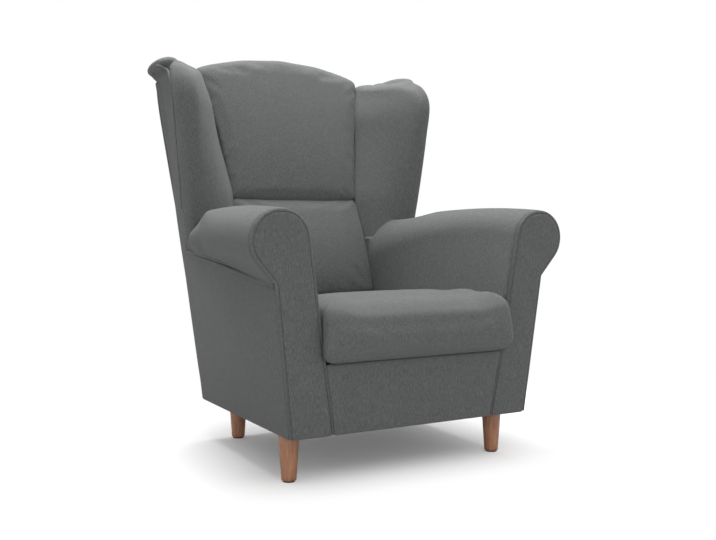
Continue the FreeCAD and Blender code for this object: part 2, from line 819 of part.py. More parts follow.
def back_top_rail():
    low = POST_TOP - size("cross_rail_height")
    end = POST_TOP - size("frame_clearance")
    out = post_inner_x(low)
    bend = size("shoulder_half_width")
    shoulder = min(top_rail_z(bend), POST_TOP - GAP)
    left = [Vector(-bend, 0, shoulder), Vector(-out, 0, end), Vector(-out, 0, low)]
    right = [Vector(out, 0, low), Vector(out, 0, end), Vector(bend, 0, shoulder)]
    points = left + right
    edges = [line(points[i], points[i + 1]) for i in range(len(points) - 1)]
    edges += [arc(right[-1], Vector(0, 0, top_rail_z(0)), left[0])]
    return RAIL_SLAB.common(front_cut(edges))


solid_node("back_top_rail", back_top_rail())


STRAP_COUNT = 4


def webbing():
    near = RAIL_NEAR + size("rail_thickness") + GAP
    slab = rear_slab(near, near + size("webbing_thickness"))
    straps = []
    for i in range(STRAP_COUNT):
        x = (i - (STRAP_COUNT - 1) / 2) * size("webbing_pitch")
        strip = Part.makeBox(
            size("webbing_width"), REACH, POST_TOP - size("webbing_end") - seat_rail_base,
            Vector(x - size("webbing_width") / 2, 0, seat_rail_base))
        straps.append(slab.common(strip).Solids[0])
    return Part.makeCompound(straps)


solid_node("back_webbing", webbing())


def arm_rail():
    width = size("arm_rail_width")
    base = size("arm_rail_base")
    front_x = size("scroll_x") - size("arm_rail_offset")
    rear_end = post_front(base) - GAP
    rear_x = side_x(rear_end, base) - 1.5 * size("arm_pad_thickness") - width / 2
    front = board_back() - size("front_setback") + front_plane_y(base)
    high = base + size("arm_rail_height")
    wires = []
    for x, y in ((front_x, front), (rear_x, rear_end)):
        across = (x - width / 2, x + width / 2)
        corners = [Vector(along, y, base) for along in across]
        corners += [Vector(along, y, high) for along in reversed(across)]
        wires.append(Part.makePolygon(corners + [corners[0]]))
    return loft(wires, True)


pair_node("arm_rail", arm_rail())


# Outer panels

def wing_front(z):
    # Foremost line of the wing at a height: straight, then a large rounded corner.
    radius = size("wing_front_radius")
    centre_z = size("wing_top_height") - radius
    if z < centre_z:
        return WING_FRONT_Y + size("wing_front_slope") * (centre_z - z)
    rise = min(z - centre_z, radius)
    return WING_FRONT_Y + radius - math.sqrt(radius * radius - rise * rise)


def seam_y(z):
    return wing_front(z) + size("wing_seam_depth")


PANEL_TOP = POST_TOP + size("frame_clearance")
WING_PANEL_BASE = size("arm_rear_height") + size("wing_over_arm")


def wing_heights():
    # Levels at which the wing's straight runs meet, from the arm to the panel's top.
    top = PANEL_TOP + GAP
    waist = size("waist_height")
    turn = junction_turn()
    corner = size("wing_top_height") - size("wing_front_radius")
    heights = [waist, between(waist, turn, 0.5), turn]
    heights += [between(corner, top, share) for share in (0.0, 0.4, 0.75)]
    inside = sorted(z for z in heights if WING_PANEL_BASE < z < top)
    return [WING_PANEL_BASE] + inside + [top]


def seam_points(setback, low, high):
    # The ridge seam from one height to another, moved back.
    heights = [low] + [z for z in wing_heights() if low + GAP < z < high - GAP] + [high]
    return [Vector(0, seam_y(z) + setback, z) for z in heights]


def outside_side_panel():
    fold_y = arm_rear_y() + GAP
    fold_front = size("crease_height") - GAP * 2
    a = Vector(0, arm_front_y() + front_plane_y(BASE_FRONT), BASE_FRONT)
    b = Vector(0, arm_front_y() + front_plane_y(fold_front), fold_front)
    fold_end = Vector(0, fold_y, size("fold_rear_height") - GAP * 2)
    seam = seam_points(2 * GAP, WING_PANEL_BASE, PANEL_TOP)
    step = Vector(0, fold_y, size("arm_rear_height") + 4 * GAP)
    rear = [Vector(0, rear_y(z), z) for z in (PANEL_TOP, size("knee_height"), BASE_REAR)]
    edges = outline_through([a, b, fold_end, step] + seam + rear)
    return side_slab(0, COVER).common(side_cut(edges))


pair_node("outside_side_panel", outside_side_panel())


def wing_board():
    near = COVER + GAP
    low = WING_PANEL_BASE + 2 * size("frame_clearance")
    front = seam_points(size("wing_board_setback"), low, POST_TOP)
    rear = [Vector(0, post_front(z) - GAP, z) for z in (POST_TOP, low)]
    edges = outline_through(front + rear)
    return side_slab(near, near + size("board_thickness")).common(side_cut(edges))


pair_node("wing_board", wing_board())


def outside_back_panel():
    right = [Vector(side_x(rear_y(z), z) - COVER - GAP, 0, z) for z in (BASE_REAR, PANEL_TOP)]
    shoulder = size("shoulder_half_width")
    bend_x = shoulder + 5 * size("frame_clearance")
    right.append(Vector(bend_x, 0, arch_z(shoulder) - size("back_top_round") / 2))
    left = [Vector(-p.x, 0, p.z) for p in reversed(right)]
    points = left + right
    edges = [line(points[i], points[i + 1]) for i in range(len(points) - 1)]
    edges += [arc(right[-1], Vector(0, 0, panel_top_height()), left[0])]
    return rear_slab(0, COVER).common(front_cut(edges))


solid_node("outside_back_panel", outside_back_panel())

apron_low, apron_high = BASE_FRONT, size("seat_base") - GAP
solid_node("apron_panel", front_piece(
    arm_edge(0, apron_low) - GAP, arm_edge(0, apron_high) - GAP,
    apron_low, apron_high, 0, size("facing_thickness")))


# Arm facings and their welts

def arm_facing():
    inset = 2 * size("piping_radius") + GAP
    outline = arm_front_outline(inset, inset, BASE_FRONT, 0)
    return leaned(Part.Face(wire_of(outline)).extrude(Vector(0, size("facing_thickness"), 0)))


def arm_piping():
    inset = size("piping_radius")
    y = size("facing_thickness") - inset
    low = BASE_FRONT
    points = arm_points(inset, low, 0)
    edges = upper_edges(points, y)
    crease = Vector(points["crease"].x, y, points["crease"].z)
    foot = Vector(side_x(0, low) - inset, y, low)
    edges.append(line(crease, foot))
    path = Part.Wire(edges)
    start = Vector(points["start"].x, y, low)
    heading = points["inner"] - points["start"]
    ring = Part.Wire(Part.makeCircle(inset - GAP / 2, start, heading))
    tube = path.makePipeShell([ring], True, False, 1)
    return leaned(tube)


pair_node("arm_facing", arm_facing())
pair_node("arm_piping", arm_piping())


# Padding and covers

arm_solid = arm_form()
pair_node("arm_pad", arm_pad_shape())


# The wing's top: shares by which its edge thins, draws together and comes forward.
WING_TOP_THINNING = 0.35
WING_TOP_CLOSING = 0.9
WING_TOP_SETBACK = 6
WING_INNER_SWELL = Vector(-3, -5, 0)
EIGHTH_TURN = math.sqrt(0.5)


def wing_seam_y(z):
    # Beside the arm's end the wing's outer face stops where the arm does.
    return seam_y(z) if z >= WING_PANEL_BASE else min(seam_y(z), arm_rear_y())


def wing_front_points(z, top_share):
    # The rounded front edge, from the ridge seam to where the inner face begins.
    roll = size("wing_roll") * (1 - WING_TOP_THINNING * top_share)
    front = wing_front(z) + WING_TOP_SETBACK * top_share
    seam = wing_seam_y(z)
    out = side_x(seam, z) - size("wing_crown_tuck") * top_share
    nose_x = out - roll
    eighth = EIGHTH_TURN * roll
    return [
        Vector(out, seam, z),
        Vector(nose_x + eighth, between(seam, front, EIGHTH_TURN), z),
        Vector(nose_x, front, z),
        Vector(nose_x - eighth, front + 0.3 * roll, z),
        Vector(nose_x - roll, front + roll, z),
    ]


def wing_rear_points(z, boarded, top_share, in_x):
    # Behind the inner face: room for the board, the post and the rails, then back to the seam.
    # Above the posts the steps for them shrink to a hair.
    tuck = size("wing_crown_tuck") * top_share
    seam = wing_seam_y(z)
    wall = COVER + 2 * GAP
    if boarded:
        wall += size("board_thickness")
        rear_line = post_front(z) - 2.5 * size("frame_clearance")
        behind = min(junction_y(z) + size("back_crown"), rail_front(z))
        rear_x = side_x(rear_line, z) - wall - tuck
        post = RAIL_NEAR + size("post_width") + size("frame_clearance") + tuck
        step_xs = (side_x(behind, z) - post, side_x(rear_line, z) - post)
    else:
        rear_line = rear_y(z) - COVER - 3 * GAP
        behind = rear_line + GAP
        rear_x = size("wing_lip_x") - size("wing_lip_radius") / 2 - tuck
        step_xs = (between(in_x, rear_x, 0.5), between(in_x, rear_x, 0.5) + GAP)
    bend_y = min(side_bend_y(), between(seam, rear_line, 0.98))
    bend_x = side_x(bend_y, z) - wall - tuck
    if not boarded:
        bend_x = between(side_x(seam, z) - tuck, rear_x, (bend_y - seam) / (rear_line - seam))
    return [
        Vector(in_x, behind, z),
        Vector(step_xs[0], behind, z),
        Vector(step_xs[1], rear_line, z),
        Vector(rear_x, rear_line, z),
        Vector(bend_x, bend_y, z),
        Vector(side_x(seam, z) - wall - tuck, seam + 2 * GAP, z),
    ]


def wing_section(z, boarded):
    # Level section of a wing, from the ridge seam round the front to the back pad and behind.
    shoulder = wing_shoulder()
    top_share = max(0.0, (z - shoulder) / (size("wing_top_height") - shoulder))
    front = wing_front_points(z, top_share)
    closed_x = front[0].x - 2.2 * (front[0].x - front[2].x)
    in_x = between(junction_x(min(z, shoulder)) + GAP, closed_x, top_share * WING_TOP_CLOSING)
    inner = Vector(in_x, junction_y(z), z)
    rear = wing_rear_points(z, boarded, top_share, in_x)
    swell = between(front[-1], inner, 0.45) + WING_INNER_SWELL
    edges = [arc(*front[:3]), arc(*front[2:]), arc(front[-1], swell, inner)]
    points = [inner] + rear + [front[0]]
    edges += [line(points[i], points[i + 1]) for i in range(len(points) - 1)]
    return Part.Wire(edges)


def wing_pad_shape():
    low = size("arm_rail_base") + size("arm_rail_height") + size("frame_clearance")
    shoulder = wing_shoulder()
    sections = [wing_section(z, True) for z in [low] + wing_heights()]
    start = wing_heights()[-1] + GAP
    tops = [between(shoulder, size("wing_top_height"), share) for share in (0.0, 0.5, 0.85)]
    sections += [wing_section(z, False) for z in [start] + tops]
    pad = loft(sections, True).cut(arm_solid)
    return max(pad.Solids, key=lambda solid: solid.Volume)


# The lip's front end lies a little lower and further in than the rest.
WING_LIP_DIP = Vector(-5, 0, -3)


def wing_lip():
    # A rod with round ends, turned about its own axis.
    radius = size("wing_lip_radius")
    z = size("wing_top_height") - radius - size("wing_lip_drop")
    start = Vector(size("wing_lip_x"), seam_y(z) + radius, z) + WING_LIP_DIP
    end = Vector(size("wing_lip_x"), rear_y(z) - radius - size("wing_lip_end"), z)
    along = end - start
    along.normalize()
    aside = along.cross(Vector(0, 0, 1))
    aside.normalize()
    eighth = radius * EIGHTH_TURN
    tips = (start - along * radius, end + along * radius)
    cheeks = (start + aside * radius, end + aside * radius)
    near = start - along * eighth + aside * eighth
    far = end + along * eighth + aside * eighth
    profile = [arc(tips[0], near, cheeks[0]), line(*cheeks), arc(cheeks[1], far, tips[1])]
    face = Part.Face(Part.Wire(profile + [line(tips[1], tips[0])]))
    return face.revolve(start, along, 360)


def with_lip(pad, lip):
    return max(pad.fuse(lip).Solids, key=lambda solid: solid.Volume)


# Each side is joined by itself, because a mirrored rod of revolution keeps true round ends.
wing_pad = wing_pad_shape()
lip = wing_lip()
solid_node("wing_pad_left", with_lip(mirrored(wing_pad), mirrored(lip)))
solid_node("wing_pad_right", with_lip(wing_pad, lip))


def back_outline(low, high, inset):
    # Front outline of the back pads: their sides follow the wings and arms.
    shoulder = size("shoulder_height")
    marks = [low, size("waist_height"), junction_turn(), shoulder, high]
    inside = sorted(z for z in marks if low <= z <= high)
    right = [Vector(junction_x(min(z, shoulder)) - inset, 0, z) for z in inside]
    left = [Vector(-p.x, 0, p.z) for p in reversed(right)]
    return outline_through(right + left)


def pad_rear(z):
    return rear_y(z) - RAIL_NEAR - size("rail_thickness") - size("webbing_thickness") - 2 * GAP


def face_y(x, z, half):
    # Face of the back: crowned across, pulled in at the waist seam.
    across = max(0.0, 1 - (x / half) ** 2)
    from_seam = min(1.0, abs(z - size("waist_height")) / size("seam_pull_reach"))
    pull = size("seam_pull") * (1 - from_seam) ** 2
    return junction_y(z) - size("back_crown") * across + pull * across


def lower_slice(x, half, inset):
    low = size("seat_rear_height") + 4 * GAP + inset
    high = size("waist_height") - GAP - inset
    mid = between(low, high, 0.5)
    front = [Vector(x, face_y(x, z, half) + inset, z) for z in (low, mid, high)]
    middle = front[1] - Vector(0, size("lower_back_swell"), 0)
    rear_knee = max(size("knee_height"), low + 1)
    rear = [Vector(x, pad_rear(z) - inset, z) for z in (high, rear_knee, low)]
    edges = [arc(front[0], middle, front[2]), line(front[2], rear[0])]
    edges += [line(rear[0], rear[1]), line(rear[1], rear[2]), line(rear[2], front[0])]
    return Part.Wire(edges)


# How the back's upper edge turns over, as shares of its roundness.
CREST_SETBACK = 1.15
CREST_BEND = Vector(0, 0.3, 0.72)


def upper_slice(x, half, inset):
    low = size("waist_height") + GAP + inset
    top = arch_z(x) - inset
    radius = size("back_top_round") - inset / 2
    turn = top - radius
    mid = between(low, turn, 0.5)
    front = [Vector(x, face_y(x, z, half) + inset, z) for z in (low, mid, turn)]
    middle = front[1] - Vector(0, size("upper_back_swell"), 0)
    crest = Vector(x, front[2].y + CREST_SETBACK * radius, top)
    bend = front[2] + CREST_BEND * radius
    foot = Vector(x, pad_rear(low) - inset, low)
    edges = [arc(front[0], middle, front[2]), arc(front[2], bend, crest)]
    if inset > 0:
        end_z = crest.z - radius / 3
        end = Vector(x, pad_rear(end_z) - inset, end_z)
        return Part.Wire(edges + [line(crest, end), line(end, foot), line(foot, front[0])])
    # The cover runs back over the top rail to the outer panel.
    step_z = top_rail_z(x) + 10 * GAP
    end_z = step_z + size("cushion_cover") / 2
    rear_top = Vector(x, rear_y(end_z) - COVER - GAP, end_z)
    shoulder = Vector(x, between(crest.y, rear_top.y, 0.65), between(crest.z, rear_top.z, 0.3))
    step = Vector(x, rear_y(step_z) - COVER - GAP, step_z)
    step_in = Vector(x, pad_rear(step_z), step_z)
    edges += [arc(crest, shoulder, rear_top), line(rear_top, step), line(step, step_in)]
    edges += [line(step_in, foot), line(foot, front[0])]
    return Part.Wire(edges)


def clear_of_arms(form, inset):
    # The seat is cut to the arms; a core is cut by the arms moved in by its inset.
    for sign in (1, -1):
        for block in (arm_solid, arm_front_room):
            tool = block.copy() if sign > 0 else mirrored(block)
            tool.translate(Vector(-sign * (inset + GAP), 0, 0))
            form = form.cut(tool)
    return max(form.Solids, key=lambda solid: solid.Volume)


def pad_form(slice_at, half, inset, low, high):
    right = (0.45, 0.8, 1.0)
    shares = [-share for share in reversed(right)] + [0.0] + list(right)
    form = loft([slice_at(half * share, half, inset) for share in shares], True)
    trim = front_cut(back_outline(low, high, GAP + inset))
    return clear_of_arms(form.common(trim), inset)


def room_for_front():
    # Where the arm fronts and their welts stand, ahead of the arm pads.
    ahead = size("frame_clearance") / 2
    outline = arm_front_outline(0, 0, BASE_FRONT, -ahead)
    return leaned(Part.Face(wire_of(outline)).extrude(Vector(0, arm_front_y() + 2 * ahead, 0)))


arm_front_room = room_for_front()


def cover_and_core(name, whole, core_outer, core):
    cover = whole.cut(core_outer)
    solid_node(name + "_cover", cover.Solids[0])
    solid_node(name + "_foam", core.Solids[0] if core.Solids else core)


def back_pad(name, slice_at, half_width, low, high):
    # Drawn a little larger than its room and trimmed to it.
    wadding = size("cushion_cover")
    spare = 2 * wadding
    room = (slice_at, half_width + spare)
    span = (low - spare, high + spare)
    whole = pad_form(*room, 0, *span)
    void = pad_form(*room, wadding, *span)
    core = pad_form(*room, wadding + 2 * GAP, *span)
    cover_and_core(name, whole, void, core)


waist = size("waist_height")
back_pad("lower_back", lower_slice, size("back_seat_half_width"), size("seat_rear_height"), waist)
back_pad("upper_back", upper_slice, size("shoulder_half_width"), waist, size("arch_height"))


def upright_arc(nose, end):
    # Arc that leaves the foremost point straight up or down and ends at another point.
    run = end.y - nose.y
    rise = end.z - nose.z
    radius = (run * run + rise * rise) / (2 * run)
    centre = Vector(nose.x, nose.y + radius, nose.z)
    middle = nose + end - centre * 2
    middle.normalize()
    return arc(nose, centre + middle * radius, end)


# Middle points of the seat's long curves, as shares of their run and of their rise or fall.
SEAT_RISE = (0.45, 0.73)
SEAT_FALL = (0.5, 0.34)


def seat_slice(x, half, inset):
    drop = size("seat_side_drop") * min(1.0, abs(x) / half) ** 4
    round_end = size("seat_end_round")
    depth = max(0.0, round_end - (half - abs(x)))
    pinch = inset + round_end - math.sqrt(round_end ** 2 - depth ** 2)
    base = size("seat_base") + pinch
    rear = SEAT_REAR_Y - pinch
    step_y = junction_y(size("seat_rear_height")) - size("back_crown") - size("seat_back_gap")
    bottom = Vector(x, front_plane_y(base) + 3 * GAP + pinch, base)
    front = Vector(x, pinch - size("seat_overhang"), size("seat_nose_height"))
    crown = Vector(x, size("seat_crown_y"), size("seat_crown_height") - drop - pinch)
    lip = Vector(x, front.y + size("seat_lip_depth"), crown.z - size("seat_lip_drop"))
    step = Vector(x, step_y, size("seat_rear_height") - pinch)
    rise = Vector(x, between(lip.y, crown.y, SEAT_RISE[0]), between(lip.z, crown.z, SEAT_RISE[1]))
    fall = Vector(x, between(crown.y, step.y, SEAT_FALL[0]), between(crown.z, step.z, SEAT_FALL[1]))
    end = Vector(x, rear, step.z)
    foot = Vector(x, rear, base)
    edges = [
        upright_arc(front, bottom), upright_arc(front, lip), arc(lip, rise, crown),
        arc(crown, fall, step), line(step, end), line(end, foot), line(foot, bottom),
    ]
    return wire_of(edges)


def seat_form(inset):
    half = size("seat_half_width") - inset
    round_end = size("seat_end_round")
    turns = [math.radians(angle) for angle in (90, 68, 45, 21, 0)]
    ends = [half - round_end * (1 - math.sin(turn)) for turn in turns]
    right = ends + [half * share for share in (0.75, 0.5, 0.25)]
    stations = sorted([-x for x in right] + [0.0] + right)
    return loft([seat_slice(x, half, inset) for x in stations], True)


def seat_cushion():
    wadding = size("cushion_cover")
    insets = (0, wadding, wadding + 2 * GAP)
    cover_and_core("seat", *[clear_of_arms(seat_form(inset), inset) for inset in insets])


seat_cushion()


# Seat suspension

def spring_height():
    return size("seat_base") - GAP - size("felt_thickness") - GAP - size("spring_wire") / 2


def zigzag(x):
    # Straight ends over the front and rear rails, and half turns with straight runs between.
    z = spring_height()
    pitch = size("spring_pitch")
    bend = size("spring_bend")
    radius = pitch / 2
    run = size("spring_width") / 2 - radius
    start = front_rail_back() - size("rail_thickness") / 2
    finish = rear_y(rail_top()) - RAIL_NEAR - size("rail_thickness") / 2
    turns = int((finish - start) / pitch)
    first = start + (finish - start - (turns - 1) * pitch) / 2

    def at(across, y):
        return Vector(x + across, y, z)

    near = bend * (1 - EIGHTH_TURN)
    edges = [
        line(at(0, start), at(0, first - bend)),
        arc(at(0, first - bend), at(near, first - near), at(bend, first)),
    ]
    here = at(bend, first)
    for i in range(turns - 1):
        sign = 1 - 2 * (i % 2)
        y = first + i * pitch
        corner, far = at(sign * run, y), at(sign * run, y + pitch)
        edges.append(line(here, corner))
        edges.append(arc(corner, at(sign * (run + radius), y + radius), far))
        here = far
    sign = 1 - 2 * (turns % 2)
    last = here.y
    edges += [
        line(here, at(sign * bend, last)),
        arc(at(sign * bend, last), at(sign * near, last + near), at(0, last + bend)),
        line(at(0, last + bend), at(0, finish)),
    ]
    ring = Part.Wire(Part.makeCircle(size("spring_wire") / 2, at(0, start), Vector(0, 1, 0)))
    return Part.Wire(edges).makePipeShell([ring], True, False)


SPRING_COUNT = 5
SPRING_XS = [(i - (SPRING_COUNT - 1) / 2) * size("spring_spacing") for i in range(SPRING_COUNT)]
solid_node("seat_springs", Part.makeCompound([zigzag(x) for x in SPRING_XS]))

felt = doc.addObject("Part::Box", "seat_felt_sheet")
HALF_FELT_TEXT = "(%d * Sizes.spring_spacing + Sizes.spring_width) / 2" % (SPRING_COUNT - 1)
FELT_DEPTH_TEXT = REAR_TOP_TEXT + " - Sizes.seat_rear_y - Sizes.felt_end - Sizes.felt_front_y"
bind(felt, Length="2 * " + HALF_FELT_TEXT, Width=FELT_DEPTH_TEXT, Height="Sizes.felt_thickness")
bind(felt, Placement__Base__x="-" + HALF_FELT_TEXT)
bind(felt, Placement__Base__y="Sizes.felt_front_y - (" + ORIGIN_TEXT + ")")
bind(felt, Placement__Base__z="Sizes.seat_base - Sizes.fit_gap - Sizes.felt_thickness")
keep(felt, "seat_felt")


# Cloth under the frame, cut out round the legs

def dust_cover():
    top = FRAME_BASE - GAP
    half = size("body_half_width") - COVER - size("dust_cover_hem")
    front = board_back() - 2 * size("dust_cover_hem")
    back = rear_y(FRAME_BASE) - COVER - size("dust_cover_hem")
    thick = size("dust_cover_thickness")
    sheet_solid = Part.makeBox(2 * half, back - front, thick, Vector(-half, front, top - thick))
    radius = size("leg_top_diameter") / 2 + size("dust_cover_hem") / 2
    for end, side, sign in leg_places():
        place = Vector(sign * size(end + "_leg_x"), LEG_YS[end], top - 2 * thick)
        sheet_solid = sheet_solid.cut(Part.makeCylinder(radius, 4 * thick, place))
    return sheet_solid


solid_node("dust_cover", dust_cover())

doc.recompute()

# Nothing is written unless every object and sub-part is sound.
for obj in doc.Objects:
    if "Invalid" in obj.State or "Error" in obj.State:
        raise RuntimeError("%s is not sound: %s" % (obj.Label, obj.State))
for obj in nodes:
    if obj.Shape.isNull() or not obj.Shape.isValid():
        raise RuntimeError("%s has no valid shape" % obj.Label)

os.makedirs("parts", exist_ok=True)
box = FreeCAD.BoundBox()
for obj in nodes:
    obj.Shape.exportStep(os.path.join("parts", obj.Label + ".step"))
    box.add(obj.Shape.BoundBox)
print("nodes", len(nodes))
print("box", [round(v, 2) for v in (box.XMin, box.XMax, box.YMin, box.YMax, box.ZMin, box.ZMax)])
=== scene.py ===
import json
import math

import bpy
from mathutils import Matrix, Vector


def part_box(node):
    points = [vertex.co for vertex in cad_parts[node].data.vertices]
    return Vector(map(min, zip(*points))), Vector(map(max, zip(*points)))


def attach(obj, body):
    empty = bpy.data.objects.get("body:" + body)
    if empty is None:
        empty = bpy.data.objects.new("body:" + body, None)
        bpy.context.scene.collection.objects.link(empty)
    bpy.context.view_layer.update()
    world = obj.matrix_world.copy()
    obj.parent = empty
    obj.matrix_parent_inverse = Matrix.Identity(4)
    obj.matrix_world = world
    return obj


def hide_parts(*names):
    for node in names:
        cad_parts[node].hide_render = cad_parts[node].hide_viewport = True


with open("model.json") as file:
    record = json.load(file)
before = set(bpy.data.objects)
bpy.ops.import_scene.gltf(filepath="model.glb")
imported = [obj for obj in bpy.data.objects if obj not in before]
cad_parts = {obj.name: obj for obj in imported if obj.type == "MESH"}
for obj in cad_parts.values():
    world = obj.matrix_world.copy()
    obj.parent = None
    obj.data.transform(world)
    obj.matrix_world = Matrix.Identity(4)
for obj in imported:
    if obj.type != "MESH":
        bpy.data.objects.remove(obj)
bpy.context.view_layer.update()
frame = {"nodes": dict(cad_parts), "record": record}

nodes = frame["nodes"]
sides = {"left": -1, "right": 1}


# small helpers

def onlySelect(*objects):
    bpy.ops.object.select_all(action="DESELECT")
    for obj in objects:
        obj.select_set(True)
    bpy.context.view_layer.objects.active = objects[-1]


def editMesh(obj):
    onlySelect(obj)
    bpy.ops.object.mode_set(mode="EDIT")
    bpy.ops.mesh.select_all(action="SELECT")


def leaveEdit():
    bpy.ops.object.mode_set(mode="OBJECT")


def applyModifiers(obj):
    onlySelect(obj)
    for modifier in list(obj.modifiers):
        bpy.ops.object.modifier_apply(modifier=modifier.name)


def addModifier(obj, kind, **values):
    modifier = obj.modifiers.new(kind.lower(), kind)
    for key, value in values.items():
        setattr(modifier, key, value)
    return modifier


def paint(obj, material):
    obj.data.materials.clear()
    obj.data.materials.append(material)


def addObject(name, data):
    obj = bpy.data.objects.new(name, data)
    bpy.context.scene.collection.objects.link(obj)
    return obj


def dress(piece, slotName, nodeName=None, smoothAngle=None):
    # Shading, material and body of a finished piece, and the node that it stands for.
    onlySelect(piece)
    if smoothAngle:
        bpy.ops.object.shade_smooth_by_angle(angle=math.radians(smoothAngle))
    else:
        bpy.ops.object.shade_smooth()
    paint(piece, materials[slotName])
    if nodeName:
        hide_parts(nodeName)
    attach(piece, "root")


def copyOfNode(nodeName, pieceName):
    # A merged copy of a CAD node, to be shaped further.
    piece = addObject(pieceName, nodes[nodeName].data.copy())
    editMesh(piece)
    bpy.ops.mesh.remove_doubles(threshold=1e-5)
    leaveEdit()
    return piece


def keepOuterShell(piece):
    # Splits the loose shells apart and keeps the one with the largest box.
    name = piece.name
    editMesh(piece)
    bpy.ops.mesh.separate(type="LOOSE")
    leaveEdit()
    parts = [obj for obj in bpy.context.selected_objects if obj.type == "MESH"]
    parts.sort(key=lambda obj: obj.dimensions.length)
    outer = parts.pop()
    for part in parts:
        bpy.data.objects.remove(part)
    outer.name = name
    return outer


def moveVertices(piece, shift):
    # Moves each vertex by what shift(place, normal) gives, all from the shape as it was.
    mesh = piece.data
    moves = [shift(vertex.co, vertex.normal) for vertex in mesh.vertices]
    for vertex, move in zip(mesh.vertices, moves):
        vertex.co += move
    mesh.update()


def distanceTo(point, path):
    best = math.inf
    for i in range(len(path) - 1):
        start, run = path[i], path[i + 1] - path[i]
        share = max(0.0, min(1.0, (point - start).dot(run) / run.length_squared))
        best = min(best, (point - start - run * share).length)
    return best


def pressCrease(piece, path, depth, width):
    # Draws the cloth in along a line; a negative depth raises a ridge.
    reach = 3 * width       # nothing moves further out
    low = Vector([min(p[i] for p in path) - reach for i in range(3)])
    high = Vector([max(p[i] for p in path) + reach for i in range(3)])

    def shift(place, normal):
        if any(place[i] < low[i] or place[i] > high[i] for i in range(3)):
            return Vector()
        return normal * (-depth * math.exp(-(distanceTo(place, path) / width) ** 2))

    moveVertices(piece, shift)


def addBlob(piece, place, size):
    bpy.ops.mesh.primitive_uv_sphere_add(segments=32, ring_count=16, radius=1, location=place)
    blob = bpy.context.active_object
    blob.scale = size
    bpy.ops.object.transform_apply(location=True, rotation=True, scale=True)
    onlySelect(blob, piece)
    bpy.ops.object.join()


def fade(value, start, end):
    share = max(0.0, min(1.0, (value - start) / (end - start)))
    return share * share * (3 - 2 * share)


def zoneShare(place, zone):
    # How far a place lies in a zone: from the front to the rear, outwards and upwards.
    along, across, up = zone
    return fade(place.y, *along) * fade(abs(place.x), *across) * fade(place.z, *up)


def mirrored(path, sign):
    return [Vector((sign * x, y, z)) for x, y, z in path]


# materials

def newMaterial(name):
    material = bpy.data.materials.new(name)
    material.use_nodes = True
    tree = material.node_tree
    return material, tree, tree.nodes["Principled BSDF"]


def addNode(tree, kind, inputs=None, **values):
    node = tree.nodes.new(kind)
    for key, value in values.items():
        setattr(node, key, value)
    for key, value in (inputs or {}).items():
        if isinstance(value, bpy.types.NodeSocket):
            tree.links.new(value, node.inputs[key])
        else:
            node.inputs[key].default_value = value
    return node


def mathNode(tree, operation, first, second=None, third=None):
    values = [value for value in (first, second, third) if value is not None]
    return addNode(tree, "ShaderNodeMath", dict(enumerate(values)), operation=operation).outputs[0]


def mixColours(tree, share, first, second):
    node = addNode(tree, "ShaderNodeMix", {0: share, 6: first, 7: second}, data_type="RGBA")
    return node.outputs[2]


def scaled(tree, colour, share):
    node = addNode(tree, "ShaderNodeVectorMath", {0: colour}, operation="SCALE")
    tree.links.new(share, node.inputs["Scale"])
    return node.outputs[0]


def spread(tree, value, low, high, outLow=0.0, outHigh=1.0):
    node = addNode(tree, "ShaderNodeMapRange", {0: value, 1: low, 2: high, 3: outLow, 4: outHigh})
    return node.outputs[0]


def noiseOn(tree, place, scale, detail=2.0, stretch=None):
    if stretch:
        place = addNode(tree, "ShaderNodeMapping", {"Vector": place, "Scale": stretch}).outputs[0]
    node = addNode(tree, "ShaderNodeTexNoise", {"Vector": place, "Scale": scale, "Detail": detail})
    return node.outputs["Fac"]


def bumpOn(tree, height, distance, strength, normal=None):
    inputs = {"Height": height, "Distance": distance, "Strength": strength}
    if normal:
        inputs["Normal"] = normal
    return addNode(tree, "ShaderNodeBump", inputs).outputs[0]


def newGroup(name, inputs, outputs):
    group = bpy.data.node_groups.new(name, "ShaderNodeTree")
    for socket in inputs:
        group.interface.new_socket(socket, in_out="INPUT", socket_type="NodeSocketFloat")
    for socket in outputs:
        group.interface.new_socket(socket, in_out="OUTPUT", socket_type="NodeSocketFloat")
    return group, addNode(group, "NodeGroupInput"), addNode(group, "NodeGroupOutput")


def byFacing(group, place, makeValue):
    # The value for each of the three directions, mixed by how far the surface faces it.
    facing = addNode(group, "ShaderNodeSeparateXYZ", {0: place.outputs["Normal"]})
    total = None
    for i, out in enumerate(facing.outputs):
        weight = mathNode(group, "MULTIPLY", out, out)
        term = mathNode(group, "MULTIPLY", makeValue(i), weight)
        total = term if total is None else mathNode(group, "ADD", total, term)
    return total


cloth = {
    "threads": 1000.0,      # threads in a metre
    "slubLength": 95.0,     # scale of the thick places along a thread
    "slubWidth": 640.0,     # and across it
    "warpShare": 0.7,       # weight of the upright threads' thick places
    "wobble": 40.0,         # scale of the bends of the threads
    "wobbleReach": 0.004,
    "mottle": 34.0,
    "mottleDetail": 3.0,
    "ripple": 14.0,
}


